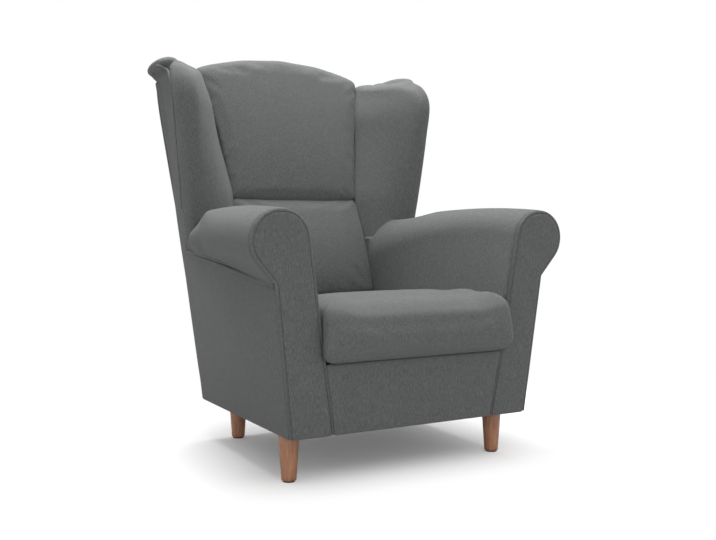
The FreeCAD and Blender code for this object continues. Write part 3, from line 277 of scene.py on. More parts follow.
def makeWeave():
    # Plain weave with uneven yarns: upright and level threads on every side of a piece.
    group, inlet, outlet = newGroup("weave", ["Threads"], ["Height", "Slubs", "Mottle", "Ripple"])
    place = addNode(group, "ShaderNodeTexCoord")
    at = place.outputs["Object"]
    wobble = addNode(group, "ShaderNodeTexNoise", {"Vector": at, "Scale": cloth["wobble"]})
    bent = addNode(group, "ShaderNodeMix", {
        0: cloth["wobbleReach"], 4: at, 5: wobble.outputs["Color"]}, data_type="VECTOR")
    axes = addNode(group, "ShaderNodeSeparateXYZ", {0: bent.outputs[1]})
    turns = mathNode(group, "MULTIPLY", inlet.outputs["Threads"], math.pi)
    waves = [mathNode(group, "SINE", mathNode(group, "MULTIPLY", axis, turns)) for axis in axes.outputs]
    height = byFacing(group, place,
                      lambda i: mathNode(group, "MULTIPLY", waves[i - 2], waves[i - 1]))
    long, wide = cloth["slubLength"], cloth["slubWidth"]
    slubs = {}
    for along in range(3):
        stretch = tuple(long if i == along else wide for i in range(3))
        slubs[along] = noiseOn(group, at, 1.0, stretch=stretch)
    # warp and weft of a face run along its two other axes
    pairs = {0: (2, 1), 1: (2, 0), 2: (1, 0)}
    warpShare = cloth["warpShare"]

    def slubOf(i):
        warp, weft = pairs[i]
        weftPart = mathNode(group, "MULTIPLY", slubs[weft], 1 - warpShare)
        return mathNode(group, "MULTIPLY_ADD", slubs[warp], warpShare, weftPart)

    group.links.new(height, outlet.inputs["Height"])
    group.links.new(byFacing(group, place, slubOf), outlet.inputs["Slubs"])
    mottle = noiseOn(group, at, cloth["mottle"], cloth["mottleDetail"])
    group.links.new(mottle, outlet.inputs["Mottle"])
    group.links.new(noiseOn(group, at, cloth["ripple"]), outlet.inputs["Ripple"])
    return group


weave = makeWeave()

upholstery = {
    "dark": (0.088, 0.092, 0.090, 1),
    "light": (0.148, 0.154, 0.150, 1),
    "tint": (0.104, 0.111, 0.108, 1),
    "yarnRange": (0.38, 0.62),      # noise that turns the yarn from dark to light
    "patchRange": (0.3, 0.7),
    "patchShare": 0.3,              # most of the tint in a patch
    "threadPaintedShade": (0.86, 1.12),    # painted shade between the threads, painted highlight on them
    "threadDepth": 0.00035,
    "threadStrength": 0.8,
    "rippleDepth": 0.0012,
    "rippleStrength": 0.7,
    "roughness": 0.95,
    "sheen": 0.12,
    "sheenRoughness": 0.5,
    "specular": 0.15,
}


def makeFabric(name, values):
    material, tree, surface = newMaterial(name)
    threads = addNode(tree, "ShaderNodeGroup", node_tree=weave)
    threads.inputs["Threads"].default_value = cloth["threads"]
    yarn = spread(tree, threads.outputs["Slubs"], *values["yarnRange"])
    colour = mixColours(tree, yarn, values["dark"], values["light"])
    patch = spread(tree, threads.outputs["Mottle"], *values["patchRange"], 0.0, values["patchShare"])
    colour = mixColours(tree, patch, colour, values["tint"])
    # painted shade in the weave's dips and a painted highlight on its tops
    lift = spread(tree, threads.outputs["Height"], -1.0, 1.0, *values["threadPaintedShade"])
    tree.links.new(scaled(tree, colour, lift), surface.inputs["Base Color"])
    fine = bumpOn(tree, threads.outputs["Height"], values["threadDepth"], values["threadStrength"])
    soft = bumpOn(tree, threads.outputs["Ripple"], values["rippleDepth"], values["rippleStrength"],
                  fine)
    tree.links.new(soft, surface.inputs["Normal"])
    surface.inputs["Roughness"].default_value = values["roughness"]
    surface.inputs["Sheen Weight"].default_value = values["sheen"]
    surface.inputs["Sheen Roughness"].default_value = values["sheenRoughness"]
    surface.inputs["Specular IOR Level"].default_value = values["specular"]
    return material


timber = {
    "rings": 9.0,               # scale of the growth rings
    "ringDetail": 6.0,
    "ringRange": (0.32, 0.68),  # noise that turns the wood from dark to light
    "pores": 55.0,
    "poreRange": (0.3, 0.6),
    "poreShade": (0.84, 1.04),
    "poreDepth": 0.0002,
    "poreStrength": 0.4,
    "coatRoughness": 0.25,
}
woods = {
    "legs": {
        "name": "reddishBeech", "dark": (0.335, 0.146, 0.076, 1), "light": (0.480, 0.238, 0.139, 1),
        "roughness": 0.42, "coat": 0.2, "stretch": (24, 24, 2.2)},
    "frame_wood": {
        "name": "pineFrame", "dark": (0.45, 0.3, 0.17, 1), "light": (0.68, 0.5, 0.31, 1),
        "roughness": 0.7, "coat": 0.0, "stretch": (3, 14, 14)},
    "plywood": {
        "name": "birchPly", "dark": (0.5, 0.36, 0.22, 1), "light": (0.72, 0.56, 0.37, 1),
        "roughness": 0.65, "coat": 0.0, "stretch": (14, 40, 3)},
}


def makeGrain():
    # Growth rings and pores of sawn or turned wood, drawn out along one axis.
    group, inlet, outlet = newGroup("grain", ["Along X", "Along Y", "Along Z"], ["Rings", "Pores"])
    place = addNode(group, "ShaderNodeTexCoord")
    stretch = addNode(group, "ShaderNodeCombineXYZ", {
        i: inlet.outputs[name] for i, name in enumerate(("Along X", "Along Y", "Along Z"))})
    at = addNode(group, "ShaderNodeVectorMath", {
        0: place.outputs["Object"], 1: stretch.outputs[0]}, operation="MULTIPLY").outputs[0]
    rings = noiseOn(group, at, timber["rings"], timber["ringDetail"])
    group.links.new(rings, outlet.inputs["Rings"])
    group.links.new(noiseOn(group, at, timber["pores"]), outlet.inputs["Pores"])
    return group


grain = makeGrain()


def makeWood(values):
    material, tree, surface = newMaterial(values["name"])
    lines = addNode(tree, "ShaderNodeGroup", node_tree=grain)
    for socket, stretch in zip(lines.inputs, values["stretch"]):
        socket.default_value = stretch
    ring = spread(tree, lines.outputs["Rings"], *timber["ringRange"])
    tone = mixColours(tree, ring, values["dark"], values["light"])
    fine = spread(tree, lines.outputs["Pores"], *timber["poreRange"], *timber["poreShade"])
    tree.links.new(scaled(tree, tone, fine), surface.inputs["Base Color"])
    bump = bumpOn(tree, lines.outputs["Pores"], timber["poreDepth"], timber["poreStrength"])
    tree.links.new(bump, surface.inputs["Normal"])
    surface.inputs["Roughness"].default_value = values["roughness"]
    surface.inputs["Coat Weight"].default_value = values["coat"]
    surface.inputs["Coat Roughness"].default_value = timber["coatRoughness"]
    return material


# foam, felt, plastic and zinc: one colour on a fine uneven surface, with painted shade in its dips and
# a painted highlight on its rises
unevenness = {"detail": 4.0, "range": (0.3, 0.7), "paintedShade": (0.82, 1.1), "strength": 0.6}
plainStuffs = {
    "foam": {
        "name": "cutFoam", "colour": (0.8, 0.74, 0.52, 1), "roughness": 0.95, "metallic": 0.0,
        "scale": 420.0, "depth": 0.0006},
    "felt": {
        "name": "needledFelt", "colour": (0.24, 0.22, 0.2, 1), "roughness": 1.0, "metallic": 0.0,
        "scale": 260.0, "depth": 0.0005},
    "webbing": {
        "name": "elasticWebbing", "colour": (0.03, 0.03, 0.035, 1), "roughness": 0.85,
        "metallic": 0.0, "scale": 500.0, "depth": 0.0003},
    "lining": {
        "name": "blackLining", "colour": (0.018, 0.018, 0.018, 1), "roughness": 0.95,
        "metallic": 0.0, "scale": 700.0, "depth": 0.0002},
    "steel": {
        "name": "zincPlate", "colour": (0.52, 0.53, 0.55, 1), "roughness": 0.38, "metallic": 1.0,
        "scale": 90.0, "depth": 0.00005},
    "glides": {
        "name": "blackPlastic", "colour": (0.02, 0.02, 0.02, 1), "roughness": 0.5, "metallic": 0.0,
        "scale": 300.0, "depth": 0.00005},
}


def makePlain(values):
    material, tree, surface = newMaterial(values["name"])
    place = addNode(tree, "ShaderNodeTexCoord")
    height = noiseOn(tree, place.outputs["Object"], values["scale"], unevenness["detail"])
    base = addNode(tree, "ShaderNodeRGB").outputs[0]
    base.default_value = values["colour"]
    # painted shade where the uneven surface dips, a painted highlight where it rises
    paintedShade = spread(tree, height, *unevenness["range"], *unevenness["paintedShade"])
    tree.links.new(scaled(tree, base, paintedShade), surface.inputs["Base Color"])
    bump = bumpOn(tree, height, values["depth"], unevenness["strength"])
    tree.links.new(bump, surface.inputs["Normal"])
    surface.inputs["Roughness"].default_value = values["roughness"]
    surface.inputs["Metallic"].default_value = values["metallic"]
    return material


materials = {"upholstery": makeFabric("greyMelange", upholstery)}
for slotName, values in woods.items():
    materials[slotName] = makeWood(values)
for slotName, values in plainStuffs.items():
    materials[slotName] = makePlain(values)
for entry in frame["record"]["subparts"]:
    paint(nodes[entry["node"]], materials[entry["material_slot"]])
print("materials done")


# soft pieces

def soften(piece, values, swell, reshape=None):
    # Even quads all over, relaxed so that edges turn over like padded cloth, then moved out.
    addModifier(piece, "REMESH", mode="VOXEL", voxel_size=values["voxel"])
    if reshape:
        applyModifiers(piece)
        moveVertices(piece, reshape)
    addModifier(piece, "SMOOTH", factor=0.5, iterations=values["rounds"])
    addModifier(piece, "DISPLACE", strength=swell, mid_level=0.0)
    applyModifiers(piece)


air = {
    "frames": 20,
    "quality": 4,
    "stretch": 25,
    "bend": 2.0,
    "wallTurn": 0.5,    # sideways turn of the skin from which it can't move sideways
    "rounds": 6,        # smoothing at the end
}


def puffUp(piece, values, isHeld):
    # Cloth over foam: air pressure swells the skin from a slightly smaller shape.
    scene = bpy.context.scene
    skin = piece.data.vertices
    start = [vertex.co.copy() for vertex in skin]
    walls = [abs(vertex.normal.x) > air["wallTurn"] for vertex in skin]
    held = [i for i, vertex in enumerate(skin) if isHeld(vertex.co, vertex.normal)]
    piece.vertex_groups.new(name="held").add(held, 1.0, "REPLACE")
    settings = piece.modifiers.new("skin", "CLOTH").settings
    settings.quality = air["quality"]
    settings.use_pressure = True
    settings.uniform_pressure_force = values["pressure"]
    settings.vertex_group_mass = "held"
    settings.tension_stiffness = air["stretch"]
    settings.compression_stiffness = air["stretch"]
    settings.bending_stiffness = air["bend"]
    settings.effector_weights.gravity = 0
    for i in range(1, air["frames"] + 1):
        scene.frame_set(i)
    applyModifiers(piece)
    scene.frame_set(1)
    piece.vertex_groups.clear()
    for vertex, place, walled in zip(piece.data.vertices, start, walls):
        move = vertex.co - place
        if walled:
            move.x = 0
        if move.length > values["swell"]:
            move *= values["swell"] / move.length
        vertex.co = place + move
    piece.data.update()
    addModifier(piece, "SMOOTH", factor=0.5, iterations=air["rounds"])
    applyModifiers(piece)


def finishPad(piece, nodeName, finer=False):
    if finer:
        addModifier(piece, "SUBSURF", levels=1, render_levels=1)
        applyModifiers(piece)
    dress(piece, "upholstery", nodeName)


# zones give where a move sets in and where it is whole, in metres
seat = {
    "voxel": 0.0075,
    "rounds": 4,
    "plump": 0.0008,
    "pressure": 1.6,
    "swell": 0.006,
    "fill": 0.85,
    "heldBase": 0.02,       # strips that the air doesn't move
    "heldRear": 0.03,
    "crownFall": 0.013,     # room that the swelling takes up again
    "crownZone": (0.15, 0.23),
    "shoulderRise": 0.003,
    "shoulderZone": (0.19, 0.25),
    "sideFall": 0.012,      # behind the front, towards the arms
    "sideAlong": (-0.38, -0.24),
    "sideAcross": (0.13, 0.21),
    "rearFall": 0.010,
    "rearZone": (-0.32, -0.08),
    "topZone": (0.36, 0.42),
    "noseFill": 0.013,      # tighter turn of the front's upper edge
    "noseForward": 0.5,
    "noseUpward": 0.85,
    "noseAlong": (0.39, 0.435),
    "noseHeight": (0.365, 0.40),
    "wider": 0.010,         # bulge of the front past the arm fronts
    "cornerOut": 0.010,
    "cornerForward": 0.004,
    "frontZone": (0.425, 0.455),
    "flankZone": (0.10, 0.245),
    "baseZone": (0.30, 0.36),
}


def shapeSeat(place, normal):
    sign = -1 if place.x < 0 else 1
    beside = abs(place.x)
    corner = fade(-place.y, *seat["frontZone"]) * fade(beside, *seat["flankZone"])
    low = 1 - fade(place.z, *seat["baseZone"])
    out = (seat["wider"] + seat["cornerOut"] * low) * corner
    fall = seat["crownFall"] * (1 - fade(beside, *seat["crownZone"]))
    fall -= seat["shoulderRise"] * fade(beside, *seat["shoulderZone"])
    fall += seat["sideFall"] * fade(place.y, *seat["sideAlong"]) * fade(beside, *seat["sideAcross"])
    fall += seat["rearFall"] * fade(place.y, *seat["rearZone"])
    fall *= fade(place.z, *seat["topZone"])
    nose = seat["noseFill"] * fade(-place.y, *seat["noseAlong"]) * fade(place.z, *seat["noseHeight"])
    forward = seat["cornerForward"] * low * corner + seat["noseForward"] * nose
    return Vector((sign * out, -forward, seat["noseUpward"] * nose - fall))


def makeSeat():
    piece = keepOuterShell(copyOfNode("seat_cover", "seatCushion"))
    soften(piece, seat, seat["plump"], shapeSeat)
    low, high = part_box("seat_cover")
    puffUp(piece, seat, lambda place, normal:
           place.z < low[2] + seat["heldBase"] or place.y > high[1] - seat["heldRear"])
    finishPad(piece, "seat_cover", finer=True)


back = {
    "voxel": 0.0065,
    "rounds": 7,
    "plump": 0.0022,
    "pressure": 1.2,
    "swell": 0.004,
    "fill": 0.8,
    "heldTurn": 0.3,        # rearward turn of the skin from which the air doesn't move it
    "seamSag": 0.004,       # hang of the seam's middle
    "seamReach": 0.12,
    "upperDrop": 0.0065,
    "lowerDrop": 0.0020,
    "footDown": 0.014,      # lower edge behind the seat
    "footZone": (0.42, 0.47),
}


def sagAtWaist(piece, waist, drop):
    # The seam between the two back pads hangs a little in its middle.
    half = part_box("lower_back_cover")[1][0]

    def shift(place, normal):
        across = max(0.0, 1 - (place.x / half) ** 2)
        near = max(0.0, 1 - abs(place.z - waist) / back["seamReach"])
        foot = back["footDown"] * (1 - fade(place.z, *back["footZone"]))
        return Vector((0, 0, -foot - (drop + back["seamSag"] * across) * near))

    moveVertices(piece, shift)


def makeBack():
    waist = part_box("upper_back_cover")[0][2]
    for level in ("upper", "lower"):
        nodeName = level + "_back_cover"
        piece = keepOuterShell(copyOfNode(nodeName, level + "BackPad"))
        soften(piece, back, back["plump"])
        puffUp(piece, back, lambda place, normal: normal.y > back["heldTurn"])
        sagAtWaist(piece, waist, back[level + "Drop"])
        finishPad(piece, nodeName, finer=True)


wing = {
    "voxel": 0.0038,
    "rounds": 5,
    "plump": 0.0010,
    "fill": 0.9,
    "around": 56,           # places round a level section
    "curveSteps": 12,
    "rowHeight": 0.010,
    "bulge": 0.030,         # crown of the inner face
    "nose": 0.038,          # radius of the rounded front edge
    # places round the front edge: inwards and rearwards, in radii
    "noseSpots": ((0.35, 0.10), (0.90, 0.0), (1.55, 0.16)),
    "innerShares": (0.3, 0.6, 0.85),
    "seamIn": 0.001,
    "seamBack": 0.012,
    "edgeIn": 0.003,
    "edgeShare": 0.55,      # place of the edge between the seam and the front
    # hidden run inside the frame, off the junction and the rear's inner and outer ends
    "hiddenTurns": ((0.012, 0.030), (0.016, -0.006), (-0.020, -0.002), (0.0, -0.016)),
    "panelRoom": 0.012,     # depth under the outer panel, none at the top
    "panelZone": (1.0, 1.04),
    "topRoom": 0.002,
    "rearIn": 0.008,
    "postRoom": 0.034,
    "postZone": (1.02, 1.05),
    # height: outer side, ridge seam, front, junction across and back, rear edge
    "sections": (
        (0.545, 0.3700, 0.214, 0.176, 0.224, 0.232, 0.275),
        (0.575, 0.3740, 0.214, 0.172, 0.219, 0.242, 0.285),
        (0.635, 0.3810, 0.212, 0.166, 0.209, 0.262, 0.306),
        (0.700, 0.3880, 0.203, 0.158, 0.206, 0.280, 0.330),
        (0.762, 0.3945, 0.198, 0.151, 0.213, 0.305, 0.352),
        (0.843, 0.4030, 0.192, 0.144, 0.228, 0.328, 0.380),
        (0.897, 0.4080, 0.188, 0.140, 0.236, 0.343, 0.398),
        (0.949, 0.4140, 0.184, 0.137, 0.240, 0.358, 0.416),
        (0.980, 0.4170, 0.187, 0.139, 0.246, 0.366, 0.428),
        (1.006, 0.4170, 0.193, 0.146, 0.252, 0.374, 0.440),
        (1.028, 0.4140, 0.204, 0.158, 0.259, 0.380, 0.451),
        (1.048, 0.4080, 0.220, 0.176, 0.265, 0.386, 0.460),
        (1.062, 0.3990, 0.240, 0.200, 0.270, 0.390, 0.464),
    ),
    # crown of the top: shrink of the section and rise over the last one
    "crown": ((0.06, 0.006), (0.16, 0.012), (0.32, 0.017), (0.55, 0.020), (0.80, 0.021)),
    "topSlope": 0.020,      # fall of the top from the lip to the inner side
    "slopeAlong": (0.30, 0.42),
    "slopeAcross": (0.40, 0.34),
    "rearRise": 0.011,      # the lip's rear end rises, the inner corner falls
    "innerFall": 0.005,
    "rearAlong": (0.31, 0.43),
    "rearAcross": (0.330, 0.385),
    "topZone": (0.95, 1.075),
    "lipPlace": (0.3935, 0.351, 1.0690),
    "lipSize": (0.0300, 0.118, 0.0225),
    # up the ridge seam, in a peak under the rolled lip and on along it
    "ridge": (
        (0.3815, 0.2110, 0.652), (0.3870, 0.2050, 0.700), (0.3955, 0.1970, 0.785),
        (0.4055, 0.1895, 0.878), (0.4130, 0.1835, 0.948), (0.4160, 0.1890, 0.990),
        (0.4160, 0.2010, 1.012), (0.4135, 0.2200, 1.031), (0.4095, 0.2480, 1.046),
        (0.4145, 0.2800, 1.058), (0.4205, 0.3130, 1.068), (0.4190, 0.3550, 1.057),
        (0.4120, 0.3900, 1.051)),
    "tuckFrom": 7,          # the crease under the lip starts at this place of the ridge
    "tuckShift": (0, 0.001, 0.005),
    "tuckDepth": 0.004,
    "tuckWidth": 0.005,
}


def curveBetween(a, b, c, d, share):
    # The value of a Catmull-Rom curve between b and c.
    square = 2 * a - 5 * b + 4 * c - d
    cube = 3 * b - a - 3 * c + d
    return b + 0.5 * ((c - a) * share + square * share ** 2 + cube * share ** 3)


def smoothLoop(points, count):
    # Evenly spread places on a closed smooth curve through the points.
    fine = []
    total = len(points)
    for i in range(total):
        a, b, c, d = (points[(i + k - 1) % total] for k in range(4))
        steps = wing["curveSteps"]
        fine += [curveBetween(a, b, c, d, k / steps) for k in range(steps)]
    lengths = [0.0]
    for i in range(len(fine)):
        lengths.append(lengths[-1] + (fine[(i + 1) % len(fine)] - fine[i]).length)
    loop, at = [], 0
    for k in range(count):
        goal = lengths[-1] * k / count
        while lengths[at + 1] < goal:
            at += 1
        share = (goal - lengths[at]) / (lengths[at + 1] - lengths[at])
        loop.append(fine[at].lerp(fine[(at + 1) % len(fine)], share))
    return loop


def wingLoop(section):
    # Level section: ridge seam, rounded front, crowned inner face, then inside the frame.
    z, out, seam, front, across, behind, rear = section
    nose = wing["nose"]
    spots = [Vector((out - i * nose, front + k * nose, z)) for i, k in wing["noseSpots"]]
    first, last = spots[-1], Vector((across, behind, z))
    run = last - first
    push = Vector((-run.y, run.x, 0)).normalized() * wing["bulge"]
    if push.x > 0:
        push = -push
    middle = (first + last) / 2 + push
    inner = [first * (1 - s) ** 2 + middle * (2 * s * (1 - s)) + last * s ** 2
             for s in wing["innerShares"]]
    room = wing["panelRoom"] * (1 - fade(z, *wing["panelZone"])) + wing["topRoom"]
    far = out - wing["rearIn"] - wing["postRoom"] * (1 - fade(z, *wing["postZone"]))
    ends = ((across, behind), (across, rear), (far, rear), (far, rear))
    hidden = [Vector((x + i, y + k, z)) for (x, y), (i, k) in zip(ends, wing["hiddenTurns"])]
    edge = seam * wing["edgeShare"] + front * (1 - wing["edgeShare"])
    points = [
        Vector((out - wing["seamIn"], seam, z)), Vector((out - wing["edgeIn"], edge, z)),
        *spots, *inner, last, *hidden,
        Vector((out - wing["rearIn"] - room, (seam + rear) / 2, z)),
        Vector((out - room, seam + wing["seamBack"], z)),
    ]
    return smoothLoop(points, wing["around"])


def wingRows():
    rows, sections = [], wing["sections"]
    padded = (sections[0],) + sections + (sections[-1],)
    for i in range(len(sections) - 1):
        steps = max(2, round((sections[i + 1][0] - sections[i][0]) / wing["rowHeight"]))
        for k in range(steps):
            between = [curveBetween(*values, k / steps) for values in zip(*padded[i:i + 4])]
            rows.append(wingLoop(between))
    last = wingLoop(sections[-1])
    rows.append(last)
    centre = sum(last, Vector()) / len(last)
    for shrink, rise in wing["crown"]:
        up = Vector((0, 0, rise))
        rows.append([centre + (place - centre) * (1 - shrink) + up for place in last])
    return rows


def slopeTop(place, normal):
    beside = abs(place.x)
    fall = wing["topSlope"] * (1 - fade(place.y, *wing["slopeAlong"]))
    fall *= fade(beside, *wing["slopeAcross"])
    outer = fade(beside, *wing["rearAcross"])
    rise = wing["rearRise"] * outer - wing["innerFall"] * (1 - outer)
    rise *= fade(place.y, *wing["rearAlong"])
    return Vector((0, 0, (rise - fall) * fade(place.z, *wing["topZone"])))


def wingForm(pieceName, sign):
    # A grid wrapped round into rows of level sections, closed at both ends.
    rows = wingRows()
    around = wing["around"]
    bpy.ops.mesh.primitive_grid_add(x_subdivisions=around, y_subdivisions=len(rows) - 1, size=1)
    piece = bpy.context.active_object
    piece.name = pieceName
    width = around + 1
    for i, vertex in enumerate(piece.data.vertices):
        vertex.co = rows[i // width][i % width % around]
        vertex.co.x *= sign
    editMesh(piece)
    bpy.ops.mesh.remove_doubles(threshold=1e-5)
    bpy.ops.mesh.fill_holes(sides=0)
    bpy.ops.mesh.select_all(action="SELECT")
    bpy.ops.mesh.normals_make_consistent(inside=False)
    leaveEdit()
    moveVertices(piece, slopeTop)
    x, y, z = wing["lipPlace"]
    addBlob(piece, (sign * x, y, z), wing["lipSize"])
    return piece


def makeWings():
    for side, sign in sides.items():
        piece = wingForm("wingPad" + side.title(), sign)
        soften(piece, wing, wing["plump"])
        shift = Vector(wing["tuckShift"])
        tuck = [place + shift for place in mirrored(wing["ridge"], sign)[wing["tuckFrom"]:]]
        pressCrease(piece, tuck, wing["tuckDepth"], wing["tuckWidth"])
        finishPad(piece, "wing_pad_" + side)


arm = {
    "voxel": 0.0048,
    "rounds": 6,
    "plump": 0.0018,
    "fill": 0.9,
    "endPlace": (0.330, 0.065, 0.575),    # the roll's rounded rear end
    "endSize": (0.064, 0.150, 0.060),
    "endZone": ((0.00, 0.06), (0.29, 0.32), (0.54, 0.56)),
    "endRounds": 50,
    "rearFall": 0.020,                    # fall of the roll's top towards the wing
    "fallZone": ((-0.02, 0.19), (0.28, 0.34), (0.56, 0.62)),
    # the fold under the roll
    "fold": (
        (0.3756, -0.430, 0.4740), (0.3756, -0.280, 0.4945), (0.3745, -0.150, 0.5090),
        (0.3735, -0.030, 0.5180), (0.3720, 0.080, 0.5265), (0.3695, 0.200, 0.5310)),
    "foldRise": 0.0035,
    "foldWidth": 0.010,
}


def lowerRear(place, normal):
    return Vector((0, 0, -arm["rearFall"] * zoneShare(place, arm["fallZone"])))


def relaxEnd(piece):
    # Evens out the cloth round the rear end of the roll.
    end = piece.vertex_groups.new(name="end")
    for vertex in piece.data.vertices:
        share = zoneShare(vertex.co, arm["endZone"])
        if share > 0:
            end.add([vertex.index], share, "REPLACE")
    addModifier(piece, "SMOOTH", factor=0.5, iterations=arm["endRounds"], vertex_group="end")
    applyModifiers(piece)
    piece.vertex_groups.clear()


def makeArms():
    for side, sign in sides.items():
        nodeName = "arm_pad_" + side
        piece = copyOfNode(nodeName, "armPad" + side.title())
        x, y, z = arm["endPlace"]
        addBlob(piece, (sign * x, y, z), arm["endSize"])
        soften(piece, arm, arm["plump"], lowerRear)
        relaxEnd(piece)
        pressCrease(piece, mirrored(arm["fold"], sign), -arm["foldRise"], arm["foldWidth"])
        finishPad(piece, nodeName)


cores = {
    "voxel": 0.009,
    "rounds": 4,
    "fill": 0.9,
    "seatInset": 0.018,
    "backInset": 0.010,
}


def makeCore(nodeName, pieceName, inset, reshape=None):
    # The cut foam in a cushion, drawn in so that its cover stays clear of it.
    piece = copyOfNode(nodeName, pieceName)
    soften(piece, cores, -inset, reshape)
    dress(piece, "foam", nodeName)


makeCore("seat_foam", "seatCore", cores["seatInset"], shapeSeat)
makeCore("upper_back_foam", "upperBackCore", cores["backInset"])
makeCore("lower_back_foam", "lowerBackCore", cores["backInset"])
makeSeat()
makeBack()
makeWings()
makeArms()
print("soft pieces done")


# flat covered panels, their edges turned over

panel = {
    "voxel": 0.0032,
    "rounds": 7,
    "plump": 0.0009,
    "edge": 0.003,          # radius of a board's edges
    "edgeSegments": 3,
    "flatAngle": 1,         # angles in degrees
    "edgeAngle": 40,
    "smoothAngle": 30,
    "weltPlump": 0.0009,
    "weltAngle": 50,
    "weltLift": 0.003,      # a welt ends this far above its panel's lower edge
}


def boardPanel(nodeName, pieceName):
    # Cloth pulled tight over a thin board: flat, with small round edges.
    piece = copyOfNode(nodeName, pieceName)
    editMesh(piece)
    bpy.ops.mesh.dissolve_limited(angle_limit=math.radians(panel["flatAngle"]))
    leaveEdit()
    addModifier(piece, "BEVEL", width=panel["edge"], segments=panel["edgeSegments"],
                limit_method="ANGLE", angle_limit=math.radians(panel["edgeAngle"]))
    applyModifiers(piece)
    dress(piece, "upholstery", nodeName, panel["smoothAngle"])


def paddedPanel(nodeName, pieceName):
    # A thin pad on a board: its edges turn over softly.
    piece = copyOfNode(nodeName, pieceName)
    soften(piece, panel, panel["plump"])
    dress(piece, "upholstery", nodeName)


def smoothWelt(nodeName, pieceName):
    piece = copyOfNode(nodeName, pieceName)
    addModifier(piece, "DISPLACE", strength=panel["weltPlump"], mid_level=0.0)
    applyModifiers(piece)
    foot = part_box(nodeName)[0][2] + panel["weltLift"]
    moveVertices(piece, lambda place, normal: Vector((0, 0, max(0.0, foot - place.z))))
    dress(piece, "upholstery", nodeName, panel["weltAngle"])


paddedPanel("apron_panel", "apronCover")
boardPanel("outside_back_panel", "rearCover")
for side in sides:
    paddedPanel("arm_facing_" + side, "armFront" + side.title())
    boardPanel("outside_side_panel_" + side, "sideCover" + side.title())
    smoothWelt("arm_piping_" + side, "armWelt" + side.title())
print("panels done")


# cords that edge the seams

cords = {
    "hemRadius": 0.0055,
    "rearRadius": 0.0038,
    "foldRadius": 0.0042,
    "ridgeRadius": 0.0032,
    "roundness": 3,
    "stepsPerPoint": 6,
    # along the top edge of the outer side panel
    "hem": (
        (0.3745, -0.428, 0.4705), (0.3725, -0.150, 0.4965), (0.3700, 0.050, 0.5135),
        (0.3675, 0.200, 0.5270)),
    # up the rear edge, ending under the wing's lip
    "rear": (
        (0.3315, 0.1855, 0.113), (0.3380, 0.2085, 0.230), (0.3445, 0.2330, 0.350),
        (0.3505, 0.2555, 0.455), (0.3525, 0.2630, 0.485), (0.3610, 0.3100, 0.620),
        (0.3730, 0.3800, 0.820), (0.3836, 0.4427, 1.003), (0.3820, 0.4430, 1.045)),
}


def makeCord(pieceName, points, radius):
    # A round cord along a line, as a closed mesh.
    curve = bpy.data.curves.new(pieceName, "CURVE")
    curve.dimensions = "3D"
    curve.bevel_depth = radius
    curve.bevel_resolution = cords["roundness"]
    curve.use_fill_caps = True
    spline = curve.splines.new("NURBS")
    spline.points.add(len(points) - 1)
    for target, point in zip(spline.points, points):
        target.co = (*point, 1)
    spline.order_u = 3
    spline.use_endpoint_u = True
    spline.resolution_u = cords["stepsPerPoint"]
    onlySelect(addObject(pieceName, curve))
    bpy.ops.object.convert(target="MESH")
    piece = bpy.context.active_object
    editMesh(piece)
    bpy.ops.mesh.remove_doubles(threshold=1e-6)
    bpy.ops.mesh.normals_make_consistent(inside=False)
    leaveEdit()
    dress(piece, "upholstery")


for side, sign in sides.items():
    makeCord("sideHem" + side.title(), mirrored(cords["hem"], sign), cords["hemRadius"])
    makeCord("rearWelt" + side.title(), mirrored(cords["rear"], sign), cords["rearRadius"])
    makeCord("foldWelt" + side.title(), mirrored(arm["fold"], sign), cords["foldRadius"])
    makeCord("ridgeWelt" + side.title(), mirrored(wing["ridge"], sign), cords["ridgeRadius"])
print("cords done")


# turned legs

legs = {"wider": 0.09, "smoothAngle": 35}


def makeLeg(end, side):
    nodeName = "leg_%s_%s" % (end, side)
    piece = copyOfNode(nodeName, "turnedLeg" + end.title() + side.title())
    low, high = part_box(nodeName)
    middle = Vector(((low[0] + high[0]) / 2, (low[1] + high[1]) / 2, 0))

    def widen(place, normal):
        return Vector((place.x - middle.x, place.y - middle.y, 0)) * legs["wider"]

    moveVertices(piece, widen)
    dress(piece, "legs", nodeName, legs["smoothAngle"])


for end in ("front", "rear"):
    for side in sides:
        makeLeg(end, side)
print("legs done")


# floor, backdrop, lamps and camera

studio = {
    "floorSize": 60.0,
    "floorLit": 0.5,            # paleness for the light, and as the camera sees it
    "floorSeen": 0.9,
    "floorRoughness": 0.9,
    "floorSpecular": 0.1,
    "lift": 0.08,               # glow that keeps the shadow from going dark
    "shadeCentre": (0.0, 0.035, 0.0),
    "shadeStretch": (0.3, 1.0, 1.0),
    "whiteFrom": 0.28,
    "whiteTo": 0.59,
    "world": 0.74,
}
lamps = {
    "topLamp": {"place": (0.04, 0.50, 3.4), "target": (0, 0, 0.3), "size": 2.4, "power": 148},
    "frontLamp": {"place": (-1.2, -4.0, 1.6), "target": (0, 0, 0.5), "size": 3.0, "power": 38},
}
camera = {
    "place": (-1.1414, -2.2247, 0.607),
    "azimuth": -28.55,
    "elevation": 2.92,
    "lens": 44.43,
    "sensor": 36,
}


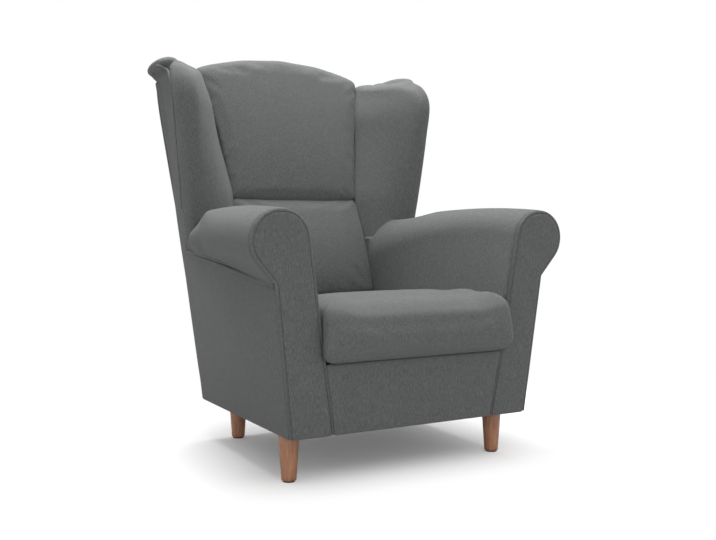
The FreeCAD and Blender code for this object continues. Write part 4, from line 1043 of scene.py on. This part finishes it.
def makeFloor():
    # Pale floor that keeps the shadow near the chair and turns white further out.
    bpy.ops.mesh.primitive_plane_add(size=studio["floorSize"], location=(0, 0, 0))
    floor = bpy.context.active_object
    floor.name = "floor"
    material, tree, surface = newMaterial("paleFloor")
    surface.inputs["Roughness"].default_value = studio["floorRoughness"]
    surface.inputs["Specular IOR Level"].default_value = studio["floorSpecular"]
    rays = addNode(tree, "ShaderNodeLightPath").outputs["Is Camera Ray"]
    paleness = spread(tree, rays, 0.0, 1.0, studio["floorLit"], studio["floorSeen"])
    tree.links.new(paleness, surface.inputs["Base Color"])
    glow = addNode(tree, "ShaderNodeEmission", {
        "Strength": mathNode(tree, "MULTIPLY", rays, studio["lift"])})
    lit = addNode(tree, "ShaderNodeAddShader", {0: surface.outputs[0], 1: glow.outputs[0]})
    white = addNode(tree, "ShaderNodeEmission", {"Strength": rays})
    place = addNode(tree, "ShaderNodeTexCoord").outputs["Object"]
    place = addNode(tree, "ShaderNodeVectorMath", {
        0: place, 1: studio["shadeStretch"]}, operation="MULTIPLY").outputs[0]
    away = addNode(tree, "ShaderNodeVectorMath", {
        0: place, 1: studio["shadeCentre"]}, operation="DISTANCE").outputs["Value"]
    far = addNode(tree, "ShaderNodeMapRange", {
        0: away, 1: studio["whiteFrom"], 2: studio["whiteTo"]},
        interpolation_type="SMOOTHSTEP").outputs[0]
    mix = addNode(tree, "ShaderNodeMixShader", {
        0: mathNode(tree, "MULTIPLY", far, rays), 1: lit.outputs[0], 2: white.outputs[0]})
    tree.links.new(mix.outputs[0], tree.nodes["Material Output"].inputs["Surface"])
    paint(floor, material)


def makeWorld():
    world = bpy.data.worlds.new("studioWorld")
    world.use_nodes = True
    bpy.context.scene.world = world
    tree = world.node_tree
    rays = addNode(tree, "ShaderNodeLightPath")
    seen = mathNode(tree, "MAXIMUM", rays.outputs["Is Camera Ray"], rays.outputs["Is Glossy Ray"])
    seen = mathNode(tree, "MAXIMUM", seen, rays.outputs["Is Transmission Ray"])
    background = tree.nodes["Background"]
    background.inputs["Color"].default_value = (1, 1, 1, 1)
    tree.links.new(spread(tree, seen, 0.0, 1.0, studio["world"], 1.0), background.inputs["Strength"])


def addLamp(name, values):
    light = bpy.data.lights.new(name, "AREA")
    light.shape = "DISK"
    light.size = values["size"]
    light.energy = values["power"]
    obj = addObject(name, light)
    obj.location = values["place"]
    aim = Vector(values["target"]) - Vector(values["place"])
    obj.rotation_euler = aim.to_track_quat("-Z", "Y").to_euler()


def addCamera():
    data = bpy.data.cameras.new("camera")
    data.lens = camera["lens"]
    data.sensor_width = camera["sensor"]
    obj = addObject("camera", data)
    obj.location = camera["place"]
    tilt = math.radians(90 - camera["elevation"])
    obj.rotation_euler = (tilt, 0, math.radians(camera["azimuth"]))
    bpy.context.scene.camera = obj


makeFloor()
makeWorld()
for name, values in lamps.items():
    addLamp(name, values)
addCamera()
bpy.context.scene.view_settings.view_transform = "Standard"
print("studio done")
